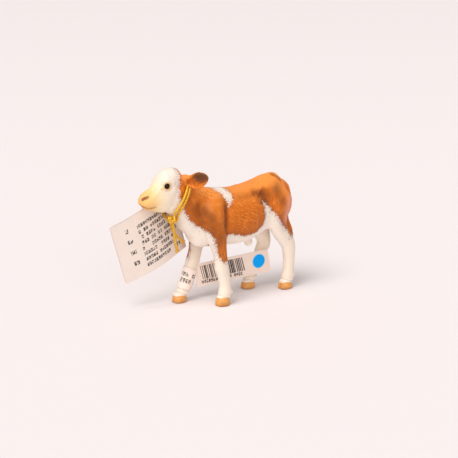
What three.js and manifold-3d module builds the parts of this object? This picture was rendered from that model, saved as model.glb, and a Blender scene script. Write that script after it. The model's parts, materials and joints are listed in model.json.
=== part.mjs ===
// A toy calf, about a twentieth of life size, with its neck cord, leaflet and leg label.
// Millimetres. +X runs towards the head, +Y to the calf's left and +Z up. The soles stand on Z = 0.

import * as THREE from 'three';
import { mergeVertices } from 'three/addons/utils/BufferGeometryUtils.js';
import Module from 'manifold-3d';

const wasm = await Module();
wasm.setup();

// Sizes of the calf
const TRUNK_LENGTH = 50;
const WITHERS_HEIGHT = 50;
const BARREL_WIDTH = 18;
const HEAD_LENGTH = 20;
const HEAD_WIDTH = 11;
const HEAD_TURN_DEG = -5;
const EYE_DIAMETER = 2.6;
const EAR_LENGTH = 12;
const EAR_WIDTH = 6.2;
const EAR_THICKNESS = 2.6;
const EAR_WALL = 0.8;
const LEG_DEPTH = 5;
const LEG_WIDTH = 4.8;
const HOOF_LENGTH = 6.8;
const HOOF_WIDTH = 5.6;
const HOOF_HEIGHT = 4.4;
const TAIL_DIAMETER = 2.6;
const SEAM_GAP = 0.3;

// Sizes of what is tied and stuck on
const CORD_DIAMETER = 1;
const CORD_STRAND_GAP = 0.55;
const CORD_CLEARANCE = 0.6;
const KNOT_DIAMETER = 2.8;
const KNOT_LENGTH = 3.2;
const LEAFLET_LENGTH = 34;
const LEAFLET_HEIGHT = 29;
const PAPER_THICKNESS = 0.3;
const LEAF_GAP = 0.35;
const HANG_HOLE_DIAMETER = 5;
const LABEL_HEIGHT = 10.4;
const FLAG_LENGTH = 37;
const DOT_DIAMETER = 6.4;
const DOT_GAP = 0.1;

// Faceting
const BODY_SIDES = 22;
const LIMB_SIDES = 14;
const SMALL_SIDES = 12;
const CORD_SIDES = 8;

// Smaller values
const TRUNK_STEPS = 1;
const NECK_STEPS = 2;
const HEAD_STEPS = 1;
const LIMB_STEPS = 1;
const EAR_STEPS = 1;
const TAIL_STEPS = 1;
const MERGE_TOLERANCE = 1e-5;
const FULL_TURN_DEG = 360;
const MIDDLE_SHARE = 0.5;
const ROUND_SQUARENESS = 2;
const LEG_SQUARENESS = 2.2;
const HOOF_SQUARENESS = 2.4;
const EYE_GAP = 0.2;
const HOOF_CLEFT_DEPTH = 1.1;
const HOOF_CLEFT_WIDTH = 0.5;
const HOOF_CLEFT_REACH_SHARE = 3;
const DEWCLAW_DIAMETER = 1.2;
const DEWCLAW_HEIGHT = 5.6;
const DEWCLAW_SPREAD_SHARE = 0.5;
const DEWCLAW_DROP_SHARE = 0.65;
const SHEATH_LENGTH = 4;
const SHEATH_WIDTH_SHARE = 0.36;
const SHEATH_DROP_SHARE = 0.5;
const SHEATH_PLACE_SHARES = [-0.15, 0.462];
const EAR_HOLLOW_SHARE = 0.82;
const EAR_HOLLOW_FROM_ROOT = 1.7;
const LEFT_EAR_RUN_SHARES = [-0.50, 0.84, 0.20];
const RIGHT_EAR_RUN_SHARES = [-0.20, -0.97, -0.06];
const EAR_FACING_SHARES = [0.75, 0.45, -0.25];
const LEFT_EAR_ROOT_SHARES = [-0.15, 0.36, -0.34];
const RIGHT_EAR_ROOT_SHARES = [-0.08, -0.36, -0.31];
// Rows of an ear: place along it, half width as a share of its width, half thickness likewise.
const EAR_SHARES = [
  [0.00, 0.26, 0.50],
  [0.14, 0.34, 0.50],
  [0.36, 0.47, 0.50],
  [0.60, 0.50, 0.44],
  [0.80, 0.40, 0.34],
  [0.94, 0.22, 0.22],
  [1.00, 0.06, 0.08],
];
// Rows of a hoof: toe and heel, along and up, and half width.
const HOOF_SHARES = [
  [0.49, 0.00, -0.46, 0.00, 0.47],
  [0.51, 0.12, -0.49, 0.12, 0.50],
  [0.46, 0.55, -0.47, 0.45, 0.49],
  [0.38, 0.92, -0.42, 0.72, 0.45],
  [0.33, 1.00, -0.38, 0.80, 0.40],
];
const KNOT_DROP = 0.2;
const KNOT_ASIDE = 1.8;
const KNOT_AHEAD = 2.25;
const KNOT_LEAN_DEG = 18;
// The knot's outline: radius as a share of its diameter, and place along its length.
const KNOT_SHARES = [
  [0.00, -0.50],
  [0.34, -0.46],
  [0.50, -0.28],
  [0.42, -0.08],
  [0.50, 0.12],
  [0.46, 0.34],
  [0.26, 0.48],
  [0.00, 0.50],
];
const CORD_STATION_SHARE = 0.70;
const CORD_FIRST_DEG = 38;
const CORD_STEP_DEG = 14;
const CORD_TURNS = 2;
const CORD_STEPS = 78;
const CORD_MEASURES = 400;
const CORD_NEIGHBOUR_SHARE = 3;
const OVER_LEAFLET_DEG = [222, 247];
const THROUGH_HOLE_DEG = [273, 295];
const CROSSING_DEG = [630, 655];
const MEETING_DEG = [672, 700];
const PASSING_BACK_DEG = [300, 342];
const FROM_KNOT_DEG = [30, 62];
const TO_KNOT_DEG = [645, 688];
const THROAT_FALL_SHARE = 0.8;
const HANG_SLACK = 0.45;
const OVER_SLACK = 0.5;
const HANG_DROP = 2.6;
const LOOSE_END_STEPS = 9;
// The two loose ends of the cord, from the knot's lower end.
const FRONT_END_ROUTE = [
  [0, 0.7, 0],
  [-0.9, 0.7, -2.6],
  [-1.7, 0.6, -5.4],
  [-2.4, 0.5, -8.4],
  [-3.1, 0.4, -11.6],
];
const REAR_END_ROUTE = [
  [0, -0.7, 0],
  [-1.1, -0.8, -2.6],
  [-2.6, -1, -5],
  [-4.6, -1.2, -7],
  [-6.8, -1.4, -8.8],
];
const HANG_HOLE_FROM_FOLD = 3.6;
const HANG_HOLE_FROM_TOP = 3.6;
const PUNCH_SHARE = 6;
const HOLE_SIDES = 20;
const LEAFLET_STEPS = 16;
const LEAFLET_BEND_FROM = 9;
const LEAFLET_BEND_TO = 27;
const LEAFLET_REAR_YAW_DEG = 14;
const LEAFLET_FRONT_YAW_DEG = -6;
const LEAFLET_LEAN_DEG = -5;
const LEAFLET_PITCH_DEG = 18.6;
const LABEL_FOOT = 4.6;
const LABEL_STEPS = 3;
const FLAG_ROOT_SHARES = [1.0, 0.85];
const FLAG_HEADING_DEG = 175;
const FLAG_RISE_DEG = 2.2;
const FLAG_DROP = 1.1;
const FLAG_CORNER = 1;
const CORNER_STEPS = 3;
const DOT_DISTANCE = 30;

// Rows of the trunk, rump to chest: place along the trunk, top and bottom as shares of the
// withers height, half width as a share of the barrel's width, height of the widest line, squareness.
const TRUNK_SHARES = [
  [-0.522, 0.915, 0.800, 0.120, 0.50, 2.0],
  [-0.508, 0.950, 0.740, 0.200, 0.50, 2.1],
  [-0.475, 0.995, 0.670, 0.290, 0.55, 2.2],
  [-0.420, 1.040, 0.610, 0.350, 0.60, 2.3],
  [-0.350, 1.046, 0.570, 0.390, 0.60, 2.4],
  [-0.240, 1.018, 0.530, 0.420, 0.52, 2.3],
  [-0.110, 0.996, 0.486, 0.485, 0.45, 2.2],
  [0.020, 0.984, 0.482, 0.500, 0.45, 2.2],
  [0.140, 0.990, 0.490, 0.485, 0.47, 2.2],
  [0.240, 1.006, 0.496, 0.440, 0.48, 2.2],
  [0.330, 1.010, 0.508, 0.400, 0.48, 2.2],
  [0.410, 0.960, 0.524, 0.350, 0.48, 2.2],
  [0.460, 0.860, 0.566, 0.270, 0.48, 2.1],
  [0.484, 0.760, 0.620, 0.160, 0.50, 2.0],
];

// Rows of the neck, withers to poll: the crest's and the throat's places, half width, as above.
const NECK_SHARES = [
  [0.140, 0.960, 0.260, 0.600, 0.330, 0.45, 2.2],
  [0.250, 1.000, 0.400, 0.585, 0.365, 0.45, 2.2],
  [0.350, 1.030, 0.500, 0.640, 0.360, 0.45, 2.2],
  [0.430, 1.075, 0.580, 0.715, 0.335, 0.45, 2.1],
  [0.490, 1.115, 0.630, 0.805, 0.315, 0.45, 2.1],
  [0.550, 1.158, 0.705, 0.860, 0.290, 0.50, 2.1],
  [0.610, 1.180, 0.760, 0.900, 0.220, 0.50, 2.0],
];

// Rows of the head, poll to muzzle: the profile's and the jaw's places from the poll as shares of
// the head's length, half width as a share of the head's width, widest line, squareness.
const HEAD_SHARES = [
  [-0.150, -0.200, 0.030, -0.760, 0.300, 0.50, 2.0],
  [-0.110, -0.085, 0.055, -0.900, 0.430, 0.50, 2.4],
  [0.030, -0.020, 0.150, -0.960, 0.480, 0.52, 2.5],
  [0.200, -0.030, 0.245, -0.975, 0.490, 0.55, 2.5],
  [0.345, -0.110, 0.310, -0.965, 0.470, 0.58, 2.4],
  [0.450, -0.235, 0.380, -0.950, 0.425, 0.57, 2.3],
  [0.560, -0.370, 0.445, -0.930, 0.370, 0.55, 2.3],
  [0.660, -0.465, 0.510, -0.910, 0.330, 0.52, 2.3],
  [0.735, -0.545, 0.580, -0.885, 0.315, 0.52, 2.4],
  [0.772, -0.625, 0.655, -0.845, 0.270, 0.52, 2.3],
  [0.782, -0.705, 0.728, -0.800, 0.150, 0.50, 2.0],
];
const POLL_SHARES = [0.632, -0.03, 1.250];
const EYE_SHARES = [0.255, 0.415, -0.368];
const NOSTRIL_SHARES = [0.710, 0.255, -0.585];
const NOSTRIL_SIZE_SHARES = [0.055, 0.03, 0.028];
const NOSTRIL_PITCH_DEG = 25;

// Girths of the legs at their stations, as shares of the leg's depth and width.
const FORELEG_GIRTH_SHARES = [
  [0.40, 0.22],
  [1.10, 0.60],
  [1.22, 0.66],
  [0.90, 0.63],
  [0.68, 0.58],
  [0.55, 0.54],
  [0.57, 0.56],
  [0.50, 0.50],
  [0.47, 0.48],
  [0.54, 0.54],
  [0.54, 0.55],
];
const HIND_LEG_GIRTH_SHARES = [
  [0.60, 0.30],
  [1.30, 0.72],
  [1.44, 0.74],
  [1.22, 0.70],
  [0.82, 0.60],
  [0.66, 0.52],
  [0.62, 0.50],
  [0.50, 0.46],
  [0.46, 0.44],
  [0.53, 0.52],
  [0.54, 0.54],
];

const LABELLED_LEG = 'foreleg_right';

// Centre lines of the legs from the trunk to the hoof: along, up and across the trunk.
const LEG_LINE_SHARES = {
  foreleg_left: [
    [0.290, 0.955, 0.335],
    [0.300, 0.830, 0.350],
    [0.302, 0.700, 0.368],
    [0.286, 0.600, 0.392],
    [0.270, 0.520, 0.408],
    [0.256, 0.430, 0.420],
    [0.244, 0.335, 0.428],
    [0.222, 0.250, 0.430],
    [0.210, 0.175, 0.432],
    [0.214, 0.115, 0.433],
    [0.232, 0.050, 0.433],
  ],
  foreleg_right: [
    [0.310, 0.955, -0.335],
    [0.330, 0.830, -0.350],
    [0.335, 0.700, -0.362],
    [0.312, 0.600, -0.370],
    [0.300, 0.520, -0.374],
    [0.318, 0.430, -0.376],
    [0.348, 0.335, -0.378],
    [0.385, 0.240, -0.378],
    [0.418, 0.150, -0.378],
    [0.446, 0.105, -0.378],
    [0.470, 0.050, -0.378],
  ],
  hind_leg_left: [
    [-0.410, 0.940, 0.245],
    [-0.412, 0.830, 0.262],
    [-0.405, 0.715, 0.275],
    [-0.408, 0.620, 0.285],
    [-0.440, 0.520, 0.285],
    [-0.496, 0.430, 0.280],
    [-0.516, 0.375, 0.278],
    [-0.524, 0.280, 0.272],
    [-0.520, 0.180, 0.264],
    [-0.512, 0.115, 0.258],
    [-0.500, 0.050, 0.256],
  ],
  hind_leg_right: [
    [-0.380, 0.940, -0.245],
    [-0.372, 0.830, -0.262],
    [-0.352, 0.715, -0.278],
    [-0.345, 0.620, -0.290],
    [-0.360, 0.520, -0.296],
    [-0.396, 0.430, -0.298],
    [-0.396, 0.375, -0.299],
    [-0.340, 0.270, -0.300],
    [-0.275, 0.165, -0.300],
    [-0.245, 0.108, -0.300],
    [-0.232, 0.050, -0.300],
  ],
};
const HOOF_PLACE_SHARES = {
  foreleg_left: [0.236, 0.433],
  foreleg_right: [0.484, -0.378],
  hind_leg_left: [-0.492, 0.256],
  hind_leg_right: [-0.230, -0.300],
};

// The tail's line and girth: along, up, across, and girth as a share of its diameter.
const TAIL_SHARES = [
  [-0.450, 0.960, 0.010, 0.55],
  [-0.505, 0.945, 0.012, 0.60],
  [-0.555, 0.900, 0.016, 0.52],
  [-0.582, 0.820, 0.024, 0.44],
  [-0.592, 0.700, 0.040, 0.40],
  [-0.592, 0.580, 0.065, 0.42],
  [-0.588, 0.480, 0.095, 0.50],
  [-0.584, 0.420, 0.120, 0.46],
  [-0.582, 0.380, 0.130, 0.20],
];

// Reverses a mesh whose faces point in.
function facingOut(geometry) {
  const place = geometry.attributes.position;
  const index = geometry.index.array;
  const [a, b, c] = [new THREE.Vector3(), new THREE.Vector3(), new THREE.Vector3()];
  let volume = 0;
  for (let i = 0; i < index.length; i += 3) {
    a.fromBufferAttribute(place, index[i]);
    b.fromBufferAttribute(place, index[i + 1]);
    c.fromBufferAttribute(place, index[i + 2]);
    volume += a.dot(b.cross(c));
  }
  if (volume < 0) {
    for (let i = 0; i < index.length; i += 3) {
      [index[i], index[i + 1]] = [index[i + 1], index[i]];
    }
  }
  return geometry;
}

// A closed skin over rings of points, with a point in the middle of each end.
function skinOver(rings) {
  const sides = rings[0].length;
  const positions = rings.flat().flatMap((point) => point.toArray());
  for (const ring of [rings[0], rings[rings.length - 1]]) {
    const middle = new THREE.Vector3();
    ring.forEach((point) => middle.add(point));
    positions.push(...middle.divideScalar(sides).toArray());
  }
  const index = [];
  for (let r = 0; r + 1 < rings.length; r += 1) {
    for (let s = 0; s < sides; s += 1) {
      const next = (s + 1) % sides;
      const low = r * sides;
      const high = low + sides;
      index.push(low + s, low + next, high + next, low + s, high + next, high + s);
    }
  }
  const first = rings.length * sides;
  const last = first - sides;
  for (let s = 0; s < sides; s += 1) {
    const next = (s + 1) % sides;
    index.push(first, next, s, first + 1, last + s, last + next);
  }
  const geometry = new THREE.BufferGeometry();
  geometry.setAttribute('position', new THREE.Float32BufferAttribute(positions, 3));
  geometry.setIndex(index);
  return facingOut(geometry);
}

// The value at a share t of the way between two stations, on a smooth curve through all of them.
function between(before, from, to, after, t) {
  const leave = (to - before) / 2;
  const arrive = (after - from) / 2;
  const square = t * t;
  const cube = square * t;
  return (2 * cube - 3 * square + 1) * from + (cube - 2 * square + t) * leave
    + (3 * square - 2 * cube) * to + (cube - square) * arrive;
}

// The rows, with more put between them.
function flowing(rows, steps) {
  const last = rows.length - 1;
  const out = [];
  for (let r = 0; r < last; r += 1) {
    const near = [Math.max(r - 1, 0), r, r + 1, Math.min(r + 2, last)].map((i) => rows[i]);
    for (let step = 0; step < steps; step += 1) {
      const t = step / steps;
      out.push(rows[r].map((_, column) => between(...near.map((row) => row[column]), t)));
    }
  }
  out.push([...rows[last]]);
  return out;
}

const signedPower = (value, power) => Math.sign(value) * Math.abs(value) ** power;

// One ring of a section from its upper and lower points, half width, widest line and squareness.
function ringOf(section, sides) {
  const { upper, lower, halfWidth, level = MIDDLE_SHARE, squareness = ROUND_SQUARENESS } = section;
  const up = upper.clone().sub(lower);
  const height = up.length();
  up.normalize();
  const centre = lower.clone().addScaledVector(up, height * level);
  const rise = height * (1 - level);
  const drop = height * level;
  const across = section.across ?? new THREE.Vector3(0, 1, 0);
  const points = [];
  for (let s = 0; s < sides; s += 1) {
    const angle = (2 * Math.PI * s) / sides;
    const side = signedPower(Math.cos(angle), ROUND_SQUARENESS / squareness) * halfWidth;
    const along = signedPower(Math.sin(angle), ROUND_SQUARENESS / squareness);
    points.push(centre.clone().addScaledVector(across, side)
      .addScaledVector(up, along * (along > 0 ? rise : drop)));
  }
  return points;
}

// The same skin, larger all round.
function grownBy(geometry, grow) {
  geometry.computeVertexNormals();
  const { position, normal } = geometry.attributes;
  const point = new THREE.Vector3();
  const out = new THREE.Vector3();
  for (let i = 0; i < position.count; i += 1) {
    point.fromBufferAttribute(position, i);
    out.fromBufferAttribute(normal, i);
    point.addScaledVector(out, grow);
    position.setXYZ(i, point.x, point.y, point.z);
  }
  return geometry;
}

function bodyOf(sections, sides, grow = 0) {
  const skin = skinOver(sections.map((section) => ringOf(section, sides)));
  return grow > 0 ? grownBy(skin, grow) : skin;
}

const middleOf = (section) => section.upper.clone().lerp(section.lower, 0.5);

function trunkSections() {
  const rows = flowing(TRUNK_SHARES, TRUNK_STEPS);
  return rows.map(([along, top, bottom, half, level, squareness]) => ({
    upper: new THREE.Vector3(along * TRUNK_LENGTH, 0, top * WITHERS_HEIGHT),
    lower: new THREE.Vector3(along * TRUNK_LENGTH, 0, bottom * WITHERS_HEIGHT),
    halfWidth: half * BARREL_WIDTH,
    level,
    squareness,
  }));
}

function neckSections() {
  const rows = flowing(NECK_SHARES, NECK_STEPS);
  return rows.map(([crest, crestUp, throat, throatUp, half, level, squareness]) => ({
    upper: new THREE.Vector3(crest * TRUNK_LENGTH, 0, crestUp * WITHERS_HEIGHT),
    lower: new THREE.Vector3(throat * TRUNK_LENGTH, 0, throatUp * WITHERS_HEIGHT),
    halfWidth: half * BARREL_WIDTH,
    level,
    squareness,
  }));
}

const poll = new THREE.Vector3(
  POLL_SHARES[0] * TRUNK_LENGTH,
  POLL_SHARES[1] * BARREL_WIDTH,
  POLL_SHARES[2] * WITHERS_HEIGHT,
);
const headTurn = new THREE.Matrix4().makeRotationZ(THREE.MathUtils.degToRad(HEAD_TURN_DEG));

// A place on the head, from shares of its length and width.
function onHead(along, across, up) {
  return new THREE.Vector3(along * HEAD_LENGTH, across * HEAD_WIDTH, up * HEAD_LENGTH)
    .applyMatrix4(headTurn).add(poll);
}

function headSections() {
  const across = new THREE.Vector3(0, 1, 0).applyMatrix4(headTurn);
  const rows = flowing(HEAD_SHARES, HEAD_STEPS);
  return rows.map(([face, faceUp, jaw, jawUp, half, level, squareness]) => ({
    upper: onHead(face, 0, faceUp),
    lower: onHead(jaw, 0, jawUp),
    halfWidth: half * HEAD_WIDTH,
    level,
    squareness,
    across,
  }));
}

// Sections square to a line: its places along, up and across, then its half depths and half widths.
function limbSections(line, steps, squareness) {
  const rows = flowing(line, steps);
  return rows.map((row, i) => {
    const ahead = rows[Math.min(i + 1, rows.length - 1)];
    const behind = rows[Math.max(i - 1, 0)];
    const run = new THREE.Vector3(ahead[0] - behind[0], 0, ahead[1] - behind[1]).normalize();
    const front = new THREE.Vector3(-run.z, 0, run.x);
    const [along, up, across, halfDepth, halfWidth] = row;
    const centre = new THREE.Vector3(along, across, up);
    return {
      upper: centre.clone().addScaledVector(front, halfDepth),
      lower: centre.clone().addScaledVector(front, -halfDepth),
      halfWidth,
      squareness,
    };
  });
}

function legLine(name) {
  const girths = name.startsWith('fore') ? FORELEG_GIRTH_SHARES : HIND_LEG_GIRTH_SHARES;
  return LEG_LINE_SHARES[name].map(([along, up, across], i) => [
    along * TRUNK_LENGTH,
    up * WITHERS_HEIGHT,
    across * BARREL_WIDTH,
    girths[i][0] * LEG_DEPTH,
    girths[i][1] * LEG_WIDTH,
  ]);
}

// The part of a leg's line that is nearest to a height.
function legAt(name, height) {
  const rows = flowing(legLine(name), LIMB_STEPS);
  const off = (row) => Math.abs(row[1] - height);
  return rows.reduce((best, row) => (off(row) < off(best) ? row : best));
}

// Joining and cutting
function solidOf(geometry) {
  const bare = geometry.clone();
  bare.deleteAttribute('normal');
  bare.deleteAttribute('uv');
  const welded = mergeVertices(bare, MERGE_TOLERANCE);
  return new wasm.Manifold(new wasm.Mesh({
    numProp: 3,
    vertProperties: new Float32Array(welded.attributes.position.array),
    triVerts: new Uint32Array(welded.index.array),
  }));
}

function geometryOf(solid) {
  const mesh = solid.getMesh();
  const geometry = new THREE.BufferGeometry();
  const places = new Float32Array(mesh.vertProperties);
  geometry.setAttribute('position', new THREE.BufferAttribute(places, 3));
  geometry.setIndex(new THREE.BufferAttribute(new Uint32Array(mesh.triVerts), 1));
  return geometry;
}

function cutBy(geometry, ...tools) {
  return geometryOf(tools.reduce((rest, tool) => rest.subtract(solidOf(tool)), solidOf(geometry)));
}

function joined(...geometries) {
  return geometryOf(geometries.map(solidOf).reduce((sum, solid) => sum.add(solid)));
}

const paint = (color, roughness, metalness = 0) => new THREE.MeshStandardMaterial({
  color,
  roughness,
  metalness,
});
const coat = paint(0xb8622a, 0.6);
const white = paint(0xefe6da, 0.6);
const horn = paint(0xc08a48, 0.6);
const black = paint(0x120e0c, 0.2);
const gold = paint(0xe0a410, 0.35, 0.7);
const paper = paint(0xe8dccf, 0.8);
const sticker = paint(0x1c95ea, 0.6);

function named(name, geometry, material) {
  geometry.deleteAttribute('uv');
  geometry.computeVertexNormals();
  const mesh = new THREE.Mesh(geometry, material);
  mesh.name = name;
  return mesh;
}

// Trunk, neck and head
const trunkBody = (grow) => bodyOf(trunkSections(), BODY_SIDES, grow);
const neckBody = (grow) => bodyOf(neckSections(), BODY_SIDES, grow);
const headBody = (grow) => bodyOf(headSections(), BODY_SIDES, grow);

function ball(place, radii, pitch = 0) {
  const geometry = new THREE.SphereGeometry(1, SMALL_SIDES, SMALL_SIDES / 2);
  geometry.scale(...radii);
  geometry.rotateY(pitch);
  return geometry.translate(...place.toArray());
}

function eye(side, grow = 0) {
  const radius = EYE_DIAMETER / 2 + grow;
  return ball(onHead(EYE_SHARES[0], side * EYE_SHARES[1], EYE_SHARES[2]), [radius, radius, radius]);
}

function nostril(side) {
  const radii = NOSTRIL_SIZE_SHARES.map((share) => share * HEAD_LENGTH);
  const place = onHead(NOSTRIL_SHARES[0], side * NOSTRIL_SHARES[1], NOSTRIL_SHARES[2]);
  return ball(place, radii, THREE.MathUtils.degToRad(NOSTRIL_PITCH_DEG));
}

function head() {
  return cutBy(headBody(0), eye(1, EYE_GAP), eye(-1, EYE_GAP), nostril(1), nostril(-1));
}

// An ear of a share of its length and width, lying along +X from its root.
function flatEar(share) {
  const sections = flowing(EAR_SHARES, EAR_STEPS).map(([along, half, thick]) => ({
    upper: new THREE.Vector3(along * share * EAR_LENGTH, 0, half * share * EAR_WIDTH),
    lower: new THREE.Vector3(along * share * EAR_LENGTH, 0, -half * share * EAR_WIDTH),
    halfWidth: thick * EAR_THICKNESS,
  }));
  return bodyOf(sections, SMALL_SIDES);
}

function ear(side, rootShares, run) {
  const along = new THREE.Vector3(...run);
  const [ahead, aside, up] = EAR_FACING_SHARES;
  const facing = new THREE.Vector3(ahead, side * aside, up);
  along.normalize();
  facing.addScaledVector(along, -facing.dot(along)).normalize();
  const root = onHead(...rootShares);
  const place = new THREE.Matrix4().makeBasis(along, facing, along.clone().cross(facing)).setPosition(root);
  const hollow = flatEar(EAR_HOLLOW_SHARE);
  hollow.translate(EAR_HOLLOW_FROM_ROOT, EAR_WALL, 0);
  const shape = cutBy(flatEar(1), hollow);
  shape.applyMatrix4(place);
  return cutBy(facingOut(shape), headBody(SEAM_GAP), neckBody(SEAM_GAP));
}

// Legs and hooves
function hoofSections(name) {
  const [along, across] = HOOF_PLACE_SHARES[name];
  const middle = new THREE.Vector3(along * TRUNK_LENGTH, across * BARREL_WIDTH, 0);
  return HOOF_SHARES.map(([toe, toeUp, heel, heelUp, half]) => ({
    upper: new THREE.Vector3(toe * HOOF_LENGTH, 0, toeUp * HOOF_HEIGHT).add(middle),
    lower: new THREE.Vector3(heel * HOOF_LENGTH, 0, heelUp * HOOF_HEIGHT).add(middle),
    halfWidth: half * HOOF_WIDTH,
    squareness: HOOF_SQUARENESS,
  }));
}

function hoof(name) {
  const [along, across] = HOOF_PLACE_SHARES[name];
  const reach = HOOF_HEIGHT * HOOF_CLEFT_REACH_SHARE;
  const cleft = new THREE.BoxGeometry(2 * HOOF_CLEFT_DEPTH, HOOF_CLEFT_WIDTH, reach);
  cleft.translate(along * TRUNK_LENGTH + HOOF_SHARES[0][0] * HOOF_LENGTH, across * BARREL_WIDTH, 0);
  return cutBy(bodyOf(hoofSections(name), LIMB_SIDES), cleft);
}

function dewclaw(name, side) {
  const [along, up, across, halfDepth, halfWidth] = legAt(name, DEWCLAW_HEIGHT);
  const place = new THREE.Vector3(along - halfDepth, across + side * halfWidth * DEWCLAW_SPREAD_SHARE, up);
  const radius = DEWCLAW_DIAMETER / 2;
  return ball(place, [radius, radius, DEWCLAW_DIAMETER * DEWCLAW_DROP_SHARE]);
}

function legBody(name, grow) {
  return bodyOf(limbSections(legLine(name), LIMB_STEPS, LEG_SQUARENESS), LIMB_SIDES, grow);
}

// The label covers the dewclaws of its leg.
function leg(name) {
  const claws = name === LABELLED_LEG ? [] : [dewclaw(name, 1), dewclaw(name, -1)];
  const whole = joined(legBody(name, 0), ...claws);
  const above = [trunkBody(SEAM_GAP), neckBody(SEAM_GAP)];
  return cutBy(whole, ...above, bodyOf(hoofSections(name), LIMB_SIDES, SEAM_GAP));
}

// Tail and sheath
function tail() {
  const line = TAIL_SHARES.map(([along, up, across, girth]) => [
    along * TRUNK_LENGTH,
    up * WITHERS_HEIGHT,
    across * BARREL_WIDTH,
    girth * TAIL_DIAMETER,
    girth * TAIL_DIAMETER,
  ]);
  const body = bodyOf(limbSections(line, TAIL_STEPS, ROUND_SQUARENESS), SMALL_SIDES);
  const legs = ['hind_leg_left', 'hind_leg_right'].map((name) => legBody(name, SEAM_GAP));
  return cutBy(body, trunkBody(SEAM_GAP), ...legs);
}

function sheath() {
  const [along, up] = SHEATH_PLACE_SHARES;
  const place = new THREE.Vector3(along * TRUNK_LENGTH, 0, up * WITHERS_HEIGHT);
  const radii = [
    SHEATH_LENGTH / 2,
    SHEATH_LENGTH * SHEATH_WIDTH_SHARE,
    SHEATH_LENGTH * SHEATH_DROP_SHARE,
  ];
  return cutBy(ball(place, radii), trunkBody(SEAM_GAP));
}

// The neck cord: two turns round the neck behind the jaw, meeting at the knot under the throat.
const loopStation = Math.round(CORD_STATION_SHARE * (NECK_SHARES.length - 1) * NECK_STEPS);
const loopSection = neckSections()[loopStation];
const loopUp = loopSection.upper.clone().sub(loopSection.lower).normalize();
const loopAhead = new THREE.Vector3(loopUp.z, 0, -loopUp.x);
const loopMiddle = middleOf(loopSection);
const loopHeight = loopSection.upper.distanceTo(loopSection.lower) / 2;
const cordLift = CORD_CLEARANCE + CORD_DIAMETER / 2;
const cordPitch = CORD_DIAMETER + CORD_STRAND_GAP;
const leafletThickness = 2 * PAPER_THICKNESS + LEAF_GAP;

// A point by the loop, from its distance below the loop's middle, to the left, and ahead.
function byLoop(below, left, ahead) {
  return loopMiddle.clone().addScaledVector(loopUp, -below).addScaledVector(loopAhead, ahead)
    .add(new THREE.Vector3(0, left, 0));
}

const hangSide = loopSection.halfWidth + CORD_DIAMETER + 2 * CORD_CLEARANCE + HANG_SLACK;
const hangPoint = byLoop(HANG_DROP, -hangSide, 0);
const knotMiddle = byLoop(loopHeight + cordLift + KNOT_DROP, KNOT_ASIDE, KNOT_AHEAD);

const ease = (value, from, to) => THREE.MathUtils.smoothstep(value, from, to);

// One point of the cord at a turn counted in degrees from the throat, up the left side first.
function cordPoint(degrees) {
  const turn = THREE.MathUtils.degToRad(degrees);
  const round = degrees % FULL_TURN_DEG;
  const outside = ease(round, ...OVER_LEAFLET_DEG) * (1 - ease(round, ...THROUGH_HOLE_DEG));
  const crossing = ease(degrees, ...CROSSING_DEG) * (1 - ease(degrees, ...MEETING_DEG));
  const lift = cordLift + crossing * cordPitch;
  const left = Math.sin(turn) * (loopSection.halfWidth + lift);
  const out = hangSide + leafletThickness + OVER_SLACK + cordLift;
  const back = ease(degrees, ...PASSING_BACK_DEG);
  const arriving = ease(degrees, ...TO_KNOT_DEG) * (KNOT_AHEAD + cordPitch / 2);
  const leaving = (1 - ease(degrees, ...FROM_KNOT_DEG)) * (KNOT_AHEAD - cordPitch / 2);
  const ahead = cordPitch / 2 - back * cordPitch + arriving + leaving;
  const fall = Math.max(-ahead, 0) * THROAT_FALL_SHARE * Math.max(Math.cos(turn), 0);
  const below = Math.cos(turn) * (loopHeight + lift) + fall;
  return byLoop(below, THREE.MathUtils.lerp(left, -out, outside), ahead);
}

function cordRoute() {
  const side = new THREE.Vector3(0, 1, 0);
  const reach = KNOT_DIAMETER / 2 + SEAM_GAP;
  const points = [
    knotMiddle.clone().addScaledVector(side, reach),
    knotMiddle.clone().addScaledVector(side, reach + CORD_DIAMETER),
  ];
  const lastDegrees = CORD_TURNS * FULL_TURN_DEG - CORD_FIRST_DEG;
  for (let degrees = CORD_FIRST_DEG; degrees <= lastDegrees; degrees += CORD_STEP_DEG) {
    points.push(cordPoint(degrees));
  }
  points.push(
    knotMiddle.clone().addScaledVector(side, -reach - CORD_DIAMETER),
    knotMiddle.clone().addScaledVector(side, -reach),
  );
  return new THREE.CatmullRomCurve3(points, false, 'centripetal');
}

// The least gap between stretches of the cord that aren't neighbours along it.
function leastGap(route) {
  const points = route.getSpacedPoints(CORD_MEASURES);
  const step = route.getLength() / CORD_MEASURES;
  const apart = Math.ceil((CORD_DIAMETER * CORD_NEIGHBOUR_SHARE) / step);
  let least = Infinity;
  for (let i = 0; i < points.length; i += 1) {
    for (let j = i + apart; j < points.length; j += 1) {
      least = Math.min(least, points[i].distanceTo(points[j]));
    }
  }
  return least - CORD_DIAMETER;
}

function tube(route, steps) {
  const section = new THREE.Shape();
  for (let s = 0; s < CORD_SIDES; s += 1) {
    const angle = (2 * Math.PI * s) / CORD_SIDES;
    const [x, y] = [Math.cos(angle) * CORD_DIAMETER / 2, Math.sin(angle) * CORD_DIAMETER / 2];
    if (s === 0) {
      section.moveTo(x, y);
    } else {
      section.lineTo(x, y);
    }
  }
  section.closePath();
  return merged(new THREE.ExtrudeGeometry(section, { steps, bevelEnabled: false, extrudePath: route }));
}

function merged(geometry) {
  geometry.deleteAttribute('normal');
  geometry.deleteAttribute('uv');
  return facingOut(mergeVertices(geometry, MERGE_TOLERANCE));
}

const downFromKnot = new THREE.Vector3(
  -Math.sin(THREE.MathUtils.degToRad(KNOT_LEAN_DEG)),
  0,
  -Math.cos(THREE.MathUtils.degToRad(KNOT_LEAN_DEG)),
);

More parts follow.
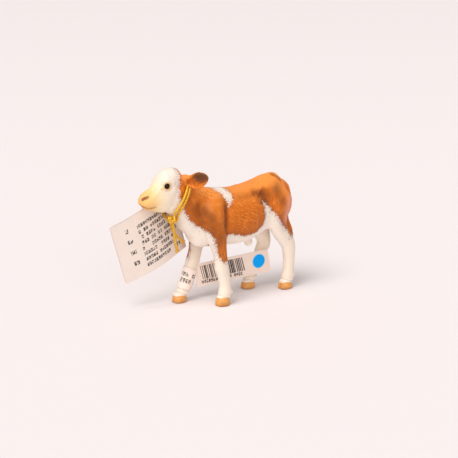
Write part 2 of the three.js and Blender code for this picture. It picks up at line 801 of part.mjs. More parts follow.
function knot() {
  const profile = KNOT_SHARES.map(([radius, along]) => new THREE.Vector2(
    radius * KNOT_DIAMETER,
    along * KNOT_LENGTH,
  ));
  const geometry = new THREE.LatheGeometry(profile, SMALL_SIDES);
  const stand = new THREE.Quaternion().setFromUnitVectors(new THREE.Vector3(0, -1, 0), downFromKnot);
  geometry.applyQuaternion(stand);
  geometry.translate(...knotMiddle.toArray());
  return merged(geometry);
}

// A loose end of the cord, from the knot's lower end along a route chosen by hand.
function looseEnd(route) {
  const start = knotMiddle.clone().addScaledVector(downFromKnot, KNOT_LENGTH / 2 + SEAM_GAP);
  const points = route.map(([x, y, z]) => start.clone().add(new THREE.Vector3(x, y, z)));
  return tube(new THREE.CatmullRomCurve3(points, false, 'centripetal'), LOOSE_END_STEPS);
}

// The leaflet: a sheet folded once, its fold behind the cheek. Its own frame has its origin at the
// hang hole, X along the page to the front, Y to the calf and Z up the page.
function leafletPoint(distance, depth) {
  let [x, y, yaw] = [0, 0, 0];
  const step = LEAFLET_LENGTH / LEAFLET_STEPS;
  const steps = Math.round(distance / step);
  for (let i = 0; i < steps; i += 1) {
    yaw = leafletYaw((i + MIDDLE_SHARE) * step);
    x += Math.cos(yaw) * step;
    y += Math.sin(yaw) * step;
  }
  yaw = leafletYaw(distance);
  return [x + Math.sin(yaw) * depth, y - Math.cos(yaw) * depth];
}

function leafletYaw(distance) {
  const share = ease(distance, LEAFLET_BEND_FROM, LEAFLET_BEND_TO);
  const yaw = THREE.MathUtils.lerp(LEAFLET_REAR_YAW_DEG, LEAFLET_FRONT_YAW_DEG, share);
  return THREE.MathUtils.degToRad(yaw);
}

const leafletFrame = new THREE.Matrix4().makeRotationFromEuler(new THREE.Euler(
  THREE.MathUtils.degToRad(LEAFLET_LEAN_DEG),
  THREE.MathUtils.degToRad(LEAFLET_PITCH_DEG),
  0,
  'XYZ',
)).setPosition(hangPoint);

function leaflet() {
  const stations = [...Array(LEAFLET_STEPS + 1).keys()];
  const distances = stations.map((i) => (i * LEAFLET_LENGTH) / LEAFLET_STEPS);
  const forward = distances.slice(1);
  const backward = [...distances].reverse();
  const outer = PAPER_THICKNESS + LEAF_GAP;
  const outline = [
    ...backward.map((distance) => leafletPoint(distance, 0)),
    ...distances.map((distance) => leafletPoint(distance, leafletThickness)),
    ...backward.slice(0, -1).map((distance) => leafletPoint(distance, outer)),
    ...forward.map((distance) => leafletPoint(distance, PAPER_THICKNESS)),
  ];
  const hole = leafletPoint(HANG_HOLE_FROM_FOLD, 0);
  const shape = new THREE.Shape(outline.map(([x, y]) => new THREE.Vector2(x - hole[0], y - hole[1])));
  const sheet = new THREE.ExtrudeGeometry(shape, { depth: LEAFLET_HEIGHT, bevelEnabled: false });
  sheet.translate(0, 0, HANG_HOLE_FROM_TOP - LEAFLET_HEIGHT);
  const punch = new THREE.CylinderGeometry(
    HANG_HOLE_DIAMETER / 2,
    HANG_HOLE_DIAMETER / 2,
    leafletThickness * PUNCH_SHARE,
    HOLE_SIDES,
  );
  punch.rotateZ(THREE.MathUtils.degToRad(LEAFLET_REAR_YAW_DEG));
  const page = cutBy(sheet, punch);
  page.applyMatrix4(leafletFrame);
  return page;
}

const hangAxis = new THREE.Vector3(0, 1, 0)
  .applyAxisAngle(new THREE.Vector3(0, 0, 1), THREE.MathUtils.degToRad(LEAFLET_REAR_YAW_DEG))
  .transformDirection(leafletFrame);

// The label: a paper sleeve round the right foreleg whose ends are stuck together as a flag.
function labelSleeve() {
  const rows = flowing(legLine(LABELLED_LEG), LABEL_STEPS)
    .filter((row) => row[1] > LABEL_FOOT && row[1] < LABEL_FOOT + LABEL_HEIGHT);
  const sections = limbSections(rows, 1, LEG_SQUARENESS);
  const outside = bodyOf(sections, LIMB_SIDES, SEAM_GAP + PAPER_THICKNESS);
  return cutBy(outside, legBody(LABELLED_LEG, SEAM_GAP));
}

const flagStart = (() => {
  const middle = legAt(LABELLED_LEG, LABEL_FOOT + LABEL_HEIGHT / 2);
  const [along, up, across, halfDepth, halfWidth] = middle;
  const [back, inward] = FLAG_ROOT_SHARES;
  return new THREE.Vector3(along - halfDepth * back, across + halfWidth * inward, up - FLAG_DROP);
})();

const flagFrame = (() => {
  const heading = THREE.MathUtils.degToRad(FLAG_HEADING_DEG);
  const rise = THREE.MathUtils.degToRad(FLAG_RISE_DEG);
  const along = new THREE.Vector3(
    Math.cos(heading) * Math.cos(rise),
    Math.sin(heading) * Math.cos(rise),
    Math.sin(rise),
  );
  const side = new THREE.Vector3(Math.sin(heading), -Math.cos(heading), 0);
  return new THREE.Matrix4().makeBasis(along, side.clone().cross(along), side).setPosition(flagStart);
})();

function roundedPlate(length, height, thickness, corner) {
  const [low, high] = [-height / 2, height / 2];
  const shape = new THREE.Shape();
  shape.moveTo(0, low);
  shape.lineTo(length - corner, low);
  shape.absarc(length - corner, low + corner, corner, -Math.PI / 2, 0, false);
  shape.lineTo(length, high - corner);
  shape.absarc(length - corner, high - corner, corner, 0, Math.PI / 2, false);
  shape.lineTo(0, high);
  shape.closePath();
  const settings = { depth: thickness, bevelEnabled: false, curveSegments: CORNER_STEPS };
  return new THREE.ExtrudeGeometry(shape, settings).translate(0, 0, -thickness / 2);
}

function label() {
  const flag = roundedPlate(FLAG_LENGTH, LABEL_HEIGHT, 2 * PAPER_THICKNESS, FLAG_CORNER);
  flag.applyMatrix4(flagFrame);
  return joined(labelSleeve(), cutBy(flag, legBody(LABELLED_LEG, SEAM_GAP)));
}

function priceDot() {
  const radius = DOT_DIAMETER / 2;
  const dot = new THREE.CylinderGeometry(radius, radius, PAPER_THICKNESS, HOLE_SIDES);
  dot.rotateX(Math.PI / 2);
  dot.translate(DOT_DISTANCE, 0, PAPER_THICKNESS + DOT_GAP + PAPER_THICKNESS / 2);
  return dot.applyMatrix4(flagFrame);
}

// The calf with its label stands so that the middle of its outline is over the origin.
const calf = new THREE.Group();
calf.add(named('torso', trunkBody(0), coat));
calf.add(named('neck', cutBy(neckBody(0), trunkBody(SEAM_GAP), headBody(SEAM_GAP)), coat));
calf.add(named('head', head(), white));
calf.add(named('left_eye', eye(1), black));
calf.add(named('right_eye', eye(-1), black));
calf.add(named('left_ear', ear(1, LEFT_EAR_ROOT_SHARES, LEFT_EAR_RUN_SHARES), coat));
calf.add(named('right_ear', ear(-1, RIGHT_EAR_ROOT_SHARES, RIGHT_EAR_RUN_SHARES), coat));
for (const name of Object.keys(LEG_LINE_SHARES)) {
  calf.add(named(name, leg(name), white));
  calf.add(named(`hoof_${name.replace('_leg', '').replace('leg', '')}`, hoof(name), horn));
}
calf.add(named('tail', tail(), coat));
calf.add(named('sheath', sheath(), white));
calf.add(named('leg_label', label(), paper));
calf.add(named('price_dot', priceDot(), sticker));

const tied = new THREE.Group();
const loopRoute = cordRoute();
tied.add(named('cord_loop', tube(loopRoute, CORD_STEPS), gold));
tied.add(named('cord_knot', knot(), gold));
tied.add(named('cord_end_front', looseEnd(FRONT_END_ROUTE), gold));
tied.add(named('cord_end_rear', looseEnd(REAR_END_ROUTE), gold));
tied.add(named('leaflet', leaflet(), paper));
console.log(`least gap of the cord to itself: ${leastGap(loopRoute).toFixed(2)} mm`);

const toy = new THREE.Group();
toy.add(calf, tied);
const outline = new THREE.Box3().setFromObject(calf);
const middle = outline.getCenter(new THREE.Vector3());
toy.position.set(-middle.x, -middle.y, -outline.min.z);
toy.updateMatrixWorld(true);
const hangPlace = hangPoint.clone().add(toy.position);
console.log(`hang hole at ${hangPlace.toArray().map((v) => v.toFixed(3))} mm`);
console.log(`swing axis ${hangAxis.toArray().map((v) => v.toFixed(4))}`);

export default toy;
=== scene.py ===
import json
import math

import bmesh
import bpy
import numpy as np
from bpy.props import FloatProperty, FloatVectorProperty, PointerProperty
from mathutils import Matrix, Vector, noise


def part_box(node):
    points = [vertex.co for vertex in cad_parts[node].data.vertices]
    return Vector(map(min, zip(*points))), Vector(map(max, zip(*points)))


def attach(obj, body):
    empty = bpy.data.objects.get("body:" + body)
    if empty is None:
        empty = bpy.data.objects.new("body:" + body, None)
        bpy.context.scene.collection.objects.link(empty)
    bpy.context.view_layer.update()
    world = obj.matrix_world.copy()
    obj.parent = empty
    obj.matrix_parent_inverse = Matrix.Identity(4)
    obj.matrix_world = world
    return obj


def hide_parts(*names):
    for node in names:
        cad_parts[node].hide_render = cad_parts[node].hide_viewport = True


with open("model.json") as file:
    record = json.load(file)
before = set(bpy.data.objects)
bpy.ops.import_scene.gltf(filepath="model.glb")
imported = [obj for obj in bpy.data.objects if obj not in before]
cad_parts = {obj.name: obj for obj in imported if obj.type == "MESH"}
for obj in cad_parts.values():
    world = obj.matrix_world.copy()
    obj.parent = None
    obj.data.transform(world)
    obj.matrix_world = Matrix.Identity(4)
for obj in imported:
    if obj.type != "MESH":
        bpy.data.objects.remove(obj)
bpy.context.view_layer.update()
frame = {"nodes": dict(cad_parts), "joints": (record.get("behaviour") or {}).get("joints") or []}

bl_info = {
    "name": "Toy calf",
    "version": (1, 0, 0),
    "blender": (4, 5, 0),
    "location": "3D View > Sidebar > Toy calf",
    "description": "A moulded and painted toy calf with a neck cord, a hanging leaflet and a leg label",
    "category": "Add Mesh",
}

MM = 0.001
PHOTO_PIXELS = 458
SENSOR_WIDTH = 36

# Places are in millimetres from the origin between the hooves: ahead, to the left and up.
# What the camera looks at
AIM = Vector((1.94, -1.41, 30.05))

# The head's own frame runs from the poll.
POLL = Vector((31.6, -0.54, 62.5))
HEAD_TURN_DEG = -5
HEAD_LENGTH = 20
HEAD_WIDTH = 11

# Neck cord, in millimetres. Its turns are counted in degrees from the throat, up the left side first.
CORD_DIAMETER = 1.15
CORD_STRAND_GAP = 0.15
CORD_PITCH = CORD_DIAMETER + CORD_STRAND_GAP
CORD_CLEARANCE = 0.6
CORD_LIFT = CORD_CLEARANCE + CORD_DIAMETER / 2
SEAM_GAP = 0.3
TUBE_SIDES = 16
RINGS_A_WRAP = 7
LOOP_CREST = Vector((24.5, 0, 55.75))
LOOP_THROAT = Vector((31.5, 0, 40.25))
LOOP_UP = (LOOP_CREST - LOOP_THROAT).normalized()
LOOP_HALF_HEIGHT = (LOOP_CREST - LOOP_THROAT).length / 2
LOOP_HALF_WIDTH = 5.67
CORD_TURNS = 2
CORD_FIRST_DEG = 38
CORD_STEP_DEG = 14
OVER_LEAFLET_DEG = (222, 247)
THROUGH_HOLE_DEG = (273, 295)
CROSSING_DEG = (630, 655)
MEETING_DEG = (672, 700)
PASSING_BACK_DEG = (300, 342)
FROM_KNOT_DEG = (44, 150)
TO_KNOT_DEG = (645, 688)
SECOND_PULL_DEG = (366, 408)
SECOND_EASE_DEG = (408, 510)
SECOND_PULL = 1.2
LEFT_PULL_DEG = (16, 60)
LEFT_EASE_DEG = (150, 190)
LEFT_PULL = 1.7
THROAT_FALL_SHARE = 0.8
CREST_DROP = 0.7
CREST_START_COSINE = 0.6
HANG_SLACK = 0.45
HANG_SIDE = LOOP_HALF_WIDTH + CORD_DIAMETER + 2 * CORD_CLEARANCE + HANG_SLACK
OVER_SLACK = 0.5
HANG_DROP = 2.6

# The knot and the two loose ends, which start below it
KNOT_DIAMETER = 2.8
KNOT_LENGTH = 3.2
KNOT_WRAPS_INSET = 0.5
KNOT_DROP = 0.2
KNOT_ASIDE = 1.8
KNOT_AHEAD = 2.25
KNOT_LEAN_DEG = 18
KNOT_WRAPS = 2.6
KNOT_WRAP_STEPS = 60
KNOT_BIGHT = [(0, 1.1, 0.9), (0.4, 0.5, 1.3), (-0.4, -0.5, 1.3), (0, -1.1, 0.9)]
KNOT_CORE_DOWN = (-1.3, 0, 1.5)
KNOT_CORE_DIAMETER = 1.5 * CORD_DIAMETER
FRONT_END_ROUTE = [
    (0, 0.6, 0), (-0.5, 0.5, -2.6), (-1.0, 0.3, -5.4), (-1.6, 0.1, -8.2), (-2.3, -0.1, -11.2),
]
REAR_END_ROUTE = [
    (0, -0.8, 0), (-0.8, -1.0, -2.6), (-2.2, -1.3, -5), (-4.0, -1.6, -6.9), (-6.0, -1.9, -8.6),
]
END_TUCK = 1.1
BRUSH_THREADS = 11
BRUSH_THREAD_DIAMETER = 0.3
BRUSH_REACH = 1.5
BRUSH_RAGGED = 0.5

# Leaflet and label, in millimetres and degrees
LEAFLET_LENGTH = 34
LEAFLET_HEIGHT = 29
LEAFLET_STEPS = 68
PAPER_THICKNESS = 0.3
LEAF_GAP = 0.35
HANG_HOLE_DIAMETER = 5
HANG_HOLE_FROM_FOLD = 3.6
HANG_HOLE_FROM_TOP = 3.6
LEAFLET_BEND_MM = (9, 27)
LEAFLET_YAW_DEG = (14, -6)
LEAFLET_LEAN_DEG = -5
LEAFLET_PITCH_DEG = 18.6
CORNER_DROOP = 1.3
CORNER_DROOP_FROM = 14
OPENING_FROM = 20
OPENING_SHARE = 0.5
LABEL_HEIGHT = 10.4
FLAG_LENGTH = 37
FLAG_THICKNESS = 0.3
FLAG_START = Vector((16.75, -4.764, 10.9))
FLAG_HEADING_DEG = 175
FLAG_RISE_DEG = 2.2
FLAG_CORNER = 1
FLAG_END_SLANT = 0.15
FLAG_SLANT_FROM = 20
FLAG_BOW = 0.12
SLEEVE_FOOT = Vector((22.6, -6.8, 4.7))
SLEEVE_TOP = Vector((18.15, -6.8, 15.0))
SLEEVE_START_RADIUS = 4.2
SLEEVE_RADIUS = 2.9
SLEEVE_CLEARANCE = 0.34
SLEEVE_THICKNESS = 0.14
DOT_DIAMETER = 6.4
DOT_DISTANCE = 31.4
DOT_RISE = 0.6
DOT_LIFT = 0.3
DOT_EDGE = 0.12
DOT_EDGE_RISE = 0.03
DOT_THICKNESS = 0.12

# Lamps: how far each is tilted from overhead, to the camera's right and towards it, and its spread
KEY_TILTS_DEG = (-22, 28)
KEY_SPREAD_DEG = 34
FRONT_TILTS_DEG = (12, 66)
FRONT_SPREAD_DEG = 60
SKY_COLOUR = (1, 0.97, 0.96, 1)
FLOOR_SIZE_M = 8

# The sockets of a colour Mix node
MIX_FACTOR, MIX_LOW, MIX_HIGH, MIX_RESULT = 0, 6, 7, 2


def colour(red, green, blue):
    """A colour written as on a screen, from 0 to 255, as the linear values that Blender uses."""
    shares = [value / 255 for value in (red, green, blue)]
    return tuple(s / 12.92 if s <= 0.04045 else ((s + 0.055) / 1.055) ** 2.4 for s in shares)


def darker(tone, share):
    return tuple(value * share for value in tone)


def smooth(value, low, high):
    """0 at low, 1 at high, which may be the lesser, and a smooth step between them."""
    share = np.clip((value - low) / (high - low), 0, 1)
    return share * share * (3 - 2 * share)


def between(value, rise, fall):
    """1 between a smooth rise and a smooth fall, each given by where it starts and ends."""
    return smooth(value, *rise) * (1 - smooth(value, *fall))


def blend(low, high, share):
    return low + (high - low) * share


# Settings

class CoatSettings(bpy.types.PropertyGroup):
    mesh_size: FloatProperty(
        name="Mesh size", description="Size of the faces of the moulded body",
        default=0.3 * MM, unit="LENGTH")
    faces_kept: FloatProperty(
        name="Faces kept", description="Share of the moulded body's faces that stay once it is shaped",
        default=0.8, subtype="FACTOR")
    hair_height: FloatProperty(
        name="Hair height", description="How far the moulded hair stands out",
        default=0.085 * MM, unit="LENGTH")
    brown: FloatVectorProperty(
        name="Brown", description="Coat paint", default=colour(214, 110, 12), subtype="COLOR")
    # Painted shade: mixed into the brown underneath, in grooves and hollows, and along the lower border
    shaded_brown: FloatVectorProperty(
        name="Deep brown", description="Wash in the grooves", default=colour(116, 56, 14), subtype="COLOR")
    # Painted highlight: mixed into the brown on up-facing parts, on ridges, along listed strokes and in
    # combed streaks
    highlight_brown: FloatVectorProperty(
        name="Light brown", description="Brushed ridges", default=colour(246, 152, 70), subtype="COLOR")
    white: FloatVectorProperty(
        name="White", description="White paint", default=colour(233, 218, 203), subtype="COLOR")
    # Painted shade in the white's grooves, with random darker patches
    white_shade: FloatVectorProperty(
        name="White shade", description="Wash on the white", default=colour(206, 186, 168), subtype="COLOR")
    fringe: FloatVectorProperty(
        name="Fringe", description="Grey strokes where the colours meet",
        default=colour(132, 104, 98), subtype="COLOR")
    muzzle: FloatVectorProperty(
        name="Muzzle", description="Airbrushed muzzle", default=colour(240, 178, 102), subtype="COLOR")
    line: FloatVectorProperty(
        name="Mouth line", description="Mouth and nostrils", default=colour(134, 84, 46), subtype="COLOR")
    ear: FloatVectorProperty(
        name="Ear hollow", description="Inside of the ears", default=colour(88, 54, 34), subtype="COLOR")


class TrimSettings(bpy.types.PropertyGroup):
    hoof: FloatVectorProperty(
        name="Hooves", description="Hoof paint", default=colour(226, 160, 86), subtype="COLOR")
    eye: FloatVectorProperty(
        name="Eyes", description="Gloss paint", default=colour(12, 7, 6), subtype="COLOR")
    gold: FloatVectorProperty(
        name="Cord", description="Metallic thread", default=colour(234, 162, 0), subtype="COLOR")
    gold_deep: FloatVectorProperty(
        name="Cord shade", description="Between the threads", default=colour(128, 78, 0), subtype="COLOR")
    thread_pitch: FloatProperty(
        name="Thread pitch", description="Length of cord that one wrap of thread takes",
        default=0.62 * MM, unit="LENGTH")
    thread_depth: FloatProperty(
        name="Thread depth", description="Depth between two wraps", default=0.14 * MM, unit="LENGTH")


class PaperSettings(bpy.types.PropertyGroup):
    thickness: FloatProperty(
        name="Paper", description="Thickness of the leaflet's paper", default=0.16 * MM, unit="LENGTH")
    page: FloatVectorProperty(
        name="Page", description="Leaflet paper", default=colour(240, 224, 212), subtype="COLOR")
    label: FloatVectorProperty(
        name="Label", description="Label paper", default=colour(244, 222, 208), subtype="COLOR")
    ink: FloatVectorProperty(
        name="Ink", description="Print", default=colour(40, 34, 34), subtype="COLOR")
    dot: FloatVectorProperty(
        name="Dot", description="Round sticker", default=colour(0, 166, 255), subtype="COLOR")


class StageSettings(bpy.types.PropertyGroup):
    floor: FloatVectorProperty(
        name="Floor", description="Floor colour", default=colour(230, 222, 221), subtype="COLOR")
    key: FloatProperty(name="Key light", description="Strength of the lamp from above", default=2.3)
    front: FloatProperty(
        name="Front light", description="Strength of the lamp beside the camera", default=0.8)
    sky: FloatProperty(name="Sky light", description="Strength of the light all round", default=0.52)
    azimuth_deg: FloatProperty(name="Azimuth", description="Camera's heading in degrees", default=144)
    elevation_deg: FloatProperty(name="Elevation", description="Camera's height in degrees", default=15.5)
    distance: FloatProperty(
        name="Distance", description="From the camera to the calf", default=650 * MM, unit="LENGTH")
    pixel: FloatProperty(
        name="Pixel", description="Size of a pixel of the picture at the calf",
        default=0.43 * MM, unit="LENGTH")


# Shader nodes written as formulas

class Field:
    """A value that varies over a surface. Sums and products of it add the nodes that work them out."""

    def __init__(self, paint, socket):
        self.paint = paint
        self.socket = socket

    def math(self, operation, *others):
        made = self.paint.tree.nodes.new("ShaderNodeMath")
        made.operation = operation
        for slot, value in zip(made.inputs, (self, *others)):
            self.paint.join(value, slot)
        return Field(self.paint, made.outputs[0])

    def __add__(self, other):
        return self.math("ADD", other)

    def __mul__(self, other):
        return self.math("MULTIPLY", other)

    __radd__ = __add__
    __rmul__ = __mul__

    def __sub__(self, other):
        return self.math("SUBTRACT", other)

    def __rsub__(self, other):
        return self * -1 + other

    def __truediv__(self, other):
        return self.math("DIVIDE", other)

    def __gt__(self, other):
        return self.math("GREATER_THAN", other)

    def __lt__(self, other):
        return self.math("LESS_THAN", other)

    def __abs__(self):
        return self.math("ABSOLUTE")

    def within(self, low, high):
        """1 between two values and 0 elsewhere."""
        return (self > low) * (self < high)

    def floor(self):
        return self.math("FLOOR")

    def part(self):
        return self.math("FRACT")

    def least(self, other):
        return self.math("MINIMUM", other)

    def most(self, other):
        return self.math("MAXIMUM", other)

    def step(self, low, high):
        """0 at low, 1 at high and a smooth step between them."""
        return self.paint.node(
            "ShaderNodeMapRange",
            {"interpolation_type": "SMOOTHSTEP"},
            {"Value": self, "From Min": low, "From Max": high},
        )


class Paint:
    """One material and the nodes that make it."""

    def __init__(self, name, roughness=0.5, **constants):
        self.material = bpy.data.materials.new(name)
        self.material.use_nodes = True
        self.tree = self.material.node_tree
        self.shader = self.tree.nodes["Principled BSDF"]
        self.set("Roughness", roughness)
        for key, value in constants.items():
            self.set(key.replace("_", " "), value)

    def join(self, value, slot):
        if isinstance(value, Field):
            self.tree.links.new(value.socket, slot)
        elif hasattr(value, "__len__"):
            wanted = len(slot.default_value)
            slot.default_value = (*value, 1.0)[:wanted]
        else:
            slot.default_value = value

    def set(self, socket, value):
        self.join(value, self.shader.inputs[socket])

    def node(self, kind, settings=None, sockets=None, output=0):
        made = self.tree.nodes.new(kind)
        for key, value in (settings or {}).items():
            setattr(made, key, value)
        for key, value in (sockets or {}).items():
            self.join(value, made.inputs[key])
        return Field(self, made.outputs[output])

    def mix(self, share, low, high):
        """Colour low where share is 0 and colour high where it is 1."""
        made = self.tree.nodes.new("ShaderNodeMix")
        made.data_type = "RGBA"
        made.clamp_factor = True
        for index, value in ((MIX_FACTOR, share), (MIX_LOW, low), (MIX_HIGH, high)):
            self.join(value, made.inputs[index])
        return Field(self, made.outputs[MIX_RESULT])

    def place(self):
        return self.node("ShaderNodeTexCoord", output="Object")

    def attribute(self, name):
        return self.node("ShaderNodeAttribute", {"attribute_name": name}, output="Fac")

    def split(self, vector):
        parts = self.tree.nodes.new("ShaderNodeSeparateXYZ")
        self.join(vector, parts.inputs[0])
        return [Field(self, output) for output in parts.outputs]

    def uv(self, name):
        across, up, _ = self.split(self.node("ShaderNodeUVMap", {"uv_map": name}))
        return across, up

    def vector(self, x=0, y=0, z=0):
        return self.node("ShaderNodeCombineXYZ", sockets={0: x, 1: y, 2: z})

    def mapped(self, turn=(0, 0, 0), scale=(1, 1, 1)):
        sockets = {"Vector": self.place(), "Rotation": turn, "Scale": scale}
        return self.node("ShaderNodeMapping", sockets=sockets)

    def noise(self, where, scale=1, detail=2, roughness=0.5):
        sockets = {"Vector": where, "Scale": scale, "Detail": detail, "Roughness": roughness}
        return self.node("ShaderNodeTexNoise", sockets=sockets)

    def chance(self, number):
        """A value from 0 to 1, drawn afresh for each number."""
        return self.node("ShaderNodeTexWhiteNoise", {"noise_dimensions": "1D"}, {"W": number})

    def bump(self, height, distance, strength):
        sockets = {"Height": height, "Distance": distance, "Strength": strength}
        self.set("Normal", self.node("ShaderNodeBump", sockets=sockets))


# Places

def toy_place():
    """The origin between the hooves, in millimetres in the part's frame, from the leaflet's joint."""
    joint = Vector(frame["joints"][0]["pos_m"]) / MM
    return joint - hang_point()


def by_loop(below, left, ahead):
    """A point by the neck loop: below its middle, to the left, and ahead."""
    ahead_axis = Vector((LOOP_UP.z, 0, -LOOP_UP.x))
    return (LOOP_CREST + LOOP_THROAT) / 2 - LOOP_UP * below + ahead_axis * ahead + Vector((0, left, 0))


def hang_point():
    return by_loop(HANG_DROP, -HANG_SIDE, 0)


def part_point(point):
    """A point from the origin between the hooves, in millimetres, as a point of the part, in metres."""
    return (point + toy_place()) * MM


def in_part(points):
    return [part_point(point) for point in points]


def on_head(along, across, up):
    """A place on the head, in millimetres from the poll."""
    return Matrix.Rotation(math.radians(HEAD_TURN_DEG), 3, "Z") @ Vector((along, across, up)) + POLL


# Making and finishing meshes

def deselected():
    if bpy.context.object and bpy.context.object.mode != "OBJECT":
        bpy.ops.object.mode_set(mode="OBJECT")
    bpy.ops.object.select_all(action="DESELECT")


def only(piece):
    """The piece selected alone and made the active one."""
    deselected()
    bpy.context.view_layer.objects.active = piece
    piece.select_set(True)
    return piece


def named(piece, name):
    piece.name = name
    piece.data.name = name
    return piece


def made_of(name, points, faces):
    mesh = bpy.data.meshes.new(name)
    mesh.from_pydata([tuple(point) for point in points], [], faces)
    mesh.update()
    piece = bpy.data.objects.new(name, mesh)
    bpy.context.scene.collection.objects.link(piece)
    return piece


def modified(piece, kind, **settings):
    """The piece with one modifier added and applied."""
    only(piece)
    modifier = piece.modifiers.new(kind.lower(), kind)
    for key, value in settings.items():
        setattr(modifier, key, value)
    bpy.ops.object.modifier_apply(modifier=modifier.name)
    return piece


def settled(piece):
    """The piece with its place in its mesh and its object at the origin."""
    only(piece)
    bpy.ops.object.transform_apply(location=True, rotation=True, scale=True)
    return piece


def rounded(piece, angle_deg=180):
    only(piece)
    bpy.ops.object.shade_smooth_by_angle(angle=math.radians(angle_deg))
    return piece


def joined(name, pieces):
    """The pieces as one, with the first one's origin."""
    deselected()
    for piece in pieces:
        piece.select_set(True)
    bpy.context.view_layer.objects.active = pieces[0]
    bpy.ops.object.join()
    return named(bpy.context.object, name)


def painted(piece, material, body, slot, *nodes):
    """The piece in its material, riding on its body, in place of the plain solids."""
    piece.data.materials.clear()
    piece.data.materials.append(material)
    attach(piece, body)
    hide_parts(*nodes)
    return piece


def chosen(piece, test):
    """In edit mode, selects the vertices whose place passes the test."""
    bpy.ops.mesh.select_mode(type="VERT")
    bpy.ops.mesh.select_all(action="DESELECT")
    net = bmesh.from_edit_mesh(piece.data)
    for vertex in net.verts:
        vertex.select_set(test(vertex.co))
    net.select_flush_mode()
    bmesh.update_edit_mesh(piece.data)


def paper_sheet(name, columns, rows):
    """A flat square one metre across, in a grid."""
    bpy.ops.mesh.primitive_grid_add(x_subdivisions=columns, y_subdivisions=rows, size=1, location=(0, 0, 0))
    return named(bpy.context.object, name)


def laid_out(sheet, spots):
    """Gives paper its UV map: where each vertex is on the flat print, in millimetres."""
    layer = sheet.data.uv_layers.active or sheet.data.uv_layers.new()
    layer.name = "page"
    for loop in sheet.data.loops:
        layer.data[loop.index].uv = spots[loop.vertex_index]


# Cords

def flowing(points, spans=12):
    """Points on the smooth line through the given points, which runs closer to near ones."""
    ends = [points[0] * 2 - points[1], *points, points[-1] * 2 - points[-2]]
    line = []
    for index in range(1, len(points)):
        before, start, end, after = ends[index - 1:index + 3]
        steps = [max((b - a).length ** 0.5, 1e-4) for a, b in ((before, start), (start, end), (end, after))]
        leave = ((start - before) / steps[0] - (end - before) / (steps[0] + steps[1])
                 + (end - start) / steps[1]) * steps[1]
        arrive = ((end - start) / steps[1] - (after - start) / (steps[1] + steps[2])
                  + (after - end) / steps[2]) * steps[1]
        for step in range(spans):
            t = step / spans
            line.append(start * (2 * t ** 3 - 3 * t ** 2 + 1) + leave * (t ** 3 - 2 * t ** 2 + t)
                        + end * (3 * t ** 2 - 2 * t ** 3) + arrive * (t ** 3 - t ** 2))
    return [*line, points[-1].copy()]


def evenly(line, step):
    """The same line in equal steps, and its length."""
    places = np.array([tuple(point) for point in line])
    runs = np.concatenate([[0], np.cumsum(np.linalg.norm(np.diff(places, axis=0), axis=1))])
    count = max(int(runs[-1] / step), 4)
    wanted = np.linspace(0, runs[-1], count + 1)
    even = np.stack([np.interp(wanted, runs, places[:, axis]) for axis in range(3)], axis=1)
    return even, wanted


def cord_point(degrees):
    """One point of the neck cord at a turn counted from the throat, up the left side first."""
    turn = math.radians(degrees)
    around = degrees % 360
    outside = between(around, OVER_LEAFLET_DEG, THROUGH_HOLE_DEG)
    crossing = between(degrees, CROSSING_DEG, MEETING_DEG)
    lift = CORD_LIFT + crossing * CORD_PITCH
    left = math.sin(turn) * (LOOP_HALF_WIDTH + lift)
    out = HANG_SIDE + 2 * PAPER_THICKNESS + LEAF_GAP + OVER_SLACK + CORD_LIFT
    passing = smooth(degrees, *PASSING_BACK_DEG) * CORD_PITCH
    arriving = smooth(degrees, *TO_KNOT_DEG) * (KNOT_AHEAD + CORD_PITCH / 2)
    leaving = (1 - smooth(degrees, *FROM_KNOT_DEG)) * (KNOT_AHEAD - CORD_PITCH / 2)
    second = between(degrees, SECOND_PULL_DEG, SECOND_EASE_DEG) * SECOND_PULL
    left_side = between(around, LEFT_PULL_DEG, LEFT_EASE_DEG) * LEFT_PULL
    ahead = CORD_PITCH / 2 - passing + arriving + leaving + second + left_side
    fall = max(-ahead, 0) * THROAT_FALL_SHARE * max(math.cos(turn), 0)
    fall += CREST_DROP * smooth(-math.cos(turn), CREST_START_COSINE, 1)
    below = math.cos(turn) * (LOOP_HALF_HEIGHT + lift) + fall
    return by_loop(below, blend(left, -out, outside), ahead)


def knot_middle():
    return by_loop(LOOP_HALF_HEIGHT + CORD_LIFT + KNOT_DROP, KNOT_ASIDE, KNOT_AHEAD)


def cord_route():
    reach = KNOT_DIAMETER / 2 + SEAM_GAP
    middle = knot_middle()
    side = Vector((0, 1, 0))
    turns = np.arange(CORD_FIRST_DEG, CORD_TURNS * 360 - CORD_FIRST_DEG + 1, CORD_STEP_DEG)
    return [
        middle + side * reach,
        middle + side * (reach + CORD_DIAMETER),
        *[cord_point(degrees) for degrees in turns],
        middle - side * (reach + CORD_DIAMETER),
        middle - side * reach,
    ]


